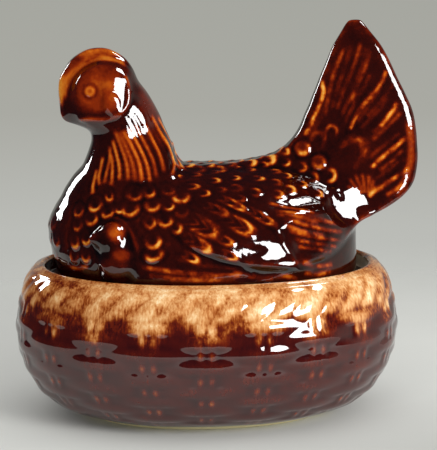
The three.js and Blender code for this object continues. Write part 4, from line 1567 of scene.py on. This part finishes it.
def stage_floor():
    material, tree = new_material("pale_card_table")
    place = add_node(tree, "ShaderNodeTexCoord").outputs["Object"]
    grain = add_node(tree, "ShaderNodeTexNoise", {
        "Vector": place, "Scale": 1 / (CARD_GRAIN * MM), "Detail": 2.0,
    }).outputs["Fac"]
    tint = add_node(tree, "ShaderNodeValToRGB", {"Fac": grain}, [(0.3, "D6D7D2"), (0.7, "DADBD6")])
    spot = add_node(tree, "ShaderNodeSeparateXYZ", {0: place}).outputs
    far = spot["Y"]
    near = add_node(tree, "ShaderNodeMapRange", {
        "Value": far, "From Min": TABLE_GREY * MM, "From Max": TABLE_PALE * MM,
    }, interpolation_type="SMOOTHSTEP").outputs[0]
    # Painted shade: the card is mixed towards grey in its near right corner.
    corner = 0.0
    for part, share in ((spot["X"], TABLE_SHADE_RIGHT), (far, TABLE_SHADE_NEAR)):
        corner = add_node(tree, "ShaderNodeMath", {
            0: part, 1: share, 2: corner,
        }, operation="MULTIPLY_ADD").outputs[0]
    shade = add_node(tree, "ShaderNodeMapRange", {
        "Value": corner, "From Min": TABLE_SHADE[0] * MM, "From Max": TABLE_SHADE[1] * MM,
    }).outputs[0]
    paper = tint.outputs["Color"]
    for share, code in ((shade, "BEBFBA"), (near, "E2E3DE")):
        paper = add_node(tree, "ShaderNodeMix", {
            "Factor": share, 6: paper, 7: colour(code),
        }, data_type="RGBA").outputs[2]
    card = add_node(tree, "ShaderNodeBsdfPrincipled", {
        "Base Color": paper, "Roughness": 0.9, "Specular IOR Level": 0.1,
    })
    fade = add_node(tree, "ShaderNodeMapRange", {
        "Value": far, "From Min": TABLE_FADE_START * MM, "From Max": TABLE_FAR * MM,
    }, interpolation_type="SMOOTHERSTEP").outputs[0]
    clear = add_node(tree, "ShaderNodeBsdfTransparent").outputs[0]
    edge = add_node(tree, "ShaderNodeMixShader", {0: fade, 1: card.outputs["BSDF"], 2: clear}).outputs[0]
    add_node(tree, "ShaderNodeOutputMaterial", {"Surface": edge})
    corners = [
        (-TABLE_SIDE, TABLE_NEAR, 0), (TABLE_SIDE, TABLE_NEAR, 0),
        (TABLE_SIDE, TABLE_FAR, 0), (-TABLE_SIDE, TABLE_FAR, 0),
    ]
    floor = mesh_object("table_top", corners, [(0, 1, 2, 3)])
    floor.data.materials.append(material)


# Backdrop: where in each direction it starts and ends, in shares of a direction of length one
PAPER_RISE = (-0.35, 0.05)
PAPER_RIGHT_SHARE, PAPER_REACH, PAPER_TOP = 0.85, (0.25, 0.6), (0.5, 0.25)


def backdrop_world():
    """Pale behind the object for the eye and for its gloss, and a dim room on the camera's side."""
    world = bpy.data.worlds.new("studio")
    bpy.context.scene.world = world
    world.use_nodes = True
    tree = world.node_tree
    tree.nodes.clear()
    direction = add_node(tree, "ShaderNodeTexCoord").outputs["Generated"]
    parts = add_node(tree, "ShaderNodeSeparateXYZ", {0: direction}).outputs
    # The paper curves forward on the right, and ends behind the object on the left
    reach = add_node(tree, "ShaderNodeMath", {
        0: parts["X"], 1: PAPER_RIGHT_SHARE, 2: parts["Y"],
    }, operation="MULTIPLY_ADD").outputs[0]
    level, behind, under = [
        add_node(tree, "ShaderNodeMapRange", {
            "Value": part, "From Min": start, "From Max": end,
        }).outputs[0]
        for part, (start, end) in ((parts["Z"], PAPER_RISE), (reach, PAPER_REACH), (parts["Z"], PAPER_TOP))
    ]
    paper = add_node(tree, "ShaderNodeValToRGB", {"Fac": level}, [
        (0.1, "C9CAC5"), (0.38, "BBBCB7"), (0.53, "A9A9A2"), (0.75, "A4A59E"), (1.0, "9C9D96"),
    ]).outputs["Color"]
    shown = add_node(tree, "ShaderNodeMath", {0: behind, 1: under}, operation="MULTIPLY").outputs[0]
    rays = add_node(tree, "ShaderNodeLightPath").outputs
    seen = colour("2A2830")
    for share in (shown, rays["Is Camera Ray"]):
        seen = add_node(tree, "ShaderNodeMix", {
            "Factor": share, 6: seen, 7: paper,
        }, data_type="RGBA").outputs[2]
    sharp, fill = [
        add_node(tree, "ShaderNodeBackground", {"Color": tint, "Strength": 1.0}).outputs[0]
        for tint in (seen, colour("E2E2E2"))
    ]
    soft = add_node(tree, "ShaderNodeMixShader", {0: rays["Is Diffuse Ray"], 1: sharp, 2: fill}).outputs[0]
    add_node(tree, "ShaderNodeOutputWorld", {"Surface": soft})


# Softboxes: around the object from the camera's side, above the level, distance, width, height, watts
SOFTBOXES = {
    "key_softbox": (37.0, 17.0, 1250.0, 470.0, 400.0, 12.0),
    "side_softbox": (92.0, 58.0, 1300.0, 360.0, 360.0, 9.0),
    "rear_softbox": (-131.0, 21.0, 1250.0, 300.0, 380.0, 8.0),
}
FILL_WATTS, FILL_PLACE, FILL_SIZE = 1.2, np.array([-250.0, -500.0, 1300.0]), 1100.0
LIGHT_AIM = np.array([0.0, 0.0, 120.0])
CLIP_NEAR, CLIP_FAR = 0.05, 20.0


def softbox(name, place, wide, high, watts):
    lamp = bpy.data.lights.new(name, "AREA")
    lamp.shape = "RECTANGLE"
    lamp.size, lamp.size_y = wide * MM, high * MM
    lamp.energy = watts
    box = new_object(name, lamp)
    box.location = placed(place)
    box.rotation_euler = Vector(placed(place) - placed(LIGHT_AIM)).to_track_quat("Z", "Y").to_euler()
    return box


def studio_lights():
    for name, (around, above, distance, wide, high, watts) in SOFTBOXES.items():
        reach = compass(math.radians(around), math.radians(above))
        box = softbox(name, LIGHT_AIM + distance * reach, wide, high, watts)
        box.visible_diffuse = name == "key_softbox"
    fill = softbox("front_fill", FILL_PLACE, FILL_SIZE, FILL_SIZE, FILL_WATTS)
    fill.visible_glossy = False


def picture_camera():
    start, forward, _, _ = camera_axes()
    lens = bpy.data.cameras.new("picture_camera")
    lens.sensor_width = SENSOR
    lens.lens = SENSOR * CAMERA_DISTANCE / MM_PER_PIXEL / PICTURE_HIGH
    lens.clip_start, lens.clip_end = CLIP_NEAR, CLIP_FAR
    camera = new_object("picture_camera", lens)
    camera.location = placed(start)
    camera.rotation_euler = Vector(forward).to_track_quat("-Z", "Y").to_euler()
    bpy.context.scene.camera = camera


picture_camera()
bpy.context.scene.view_settings.view_transform = "Standard"
backdrop_world()
stage_floor()
studio_lights()

hen = hen_piece()
hen.data.materials.clear()
hen.data.materials.append(hen_glaze())
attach(hen, "lid")
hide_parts("hen_lid")

dish = dish_piece()
dish.data.materials.append(dish_glaze())
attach(dish, "dish")
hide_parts("nest_dish")
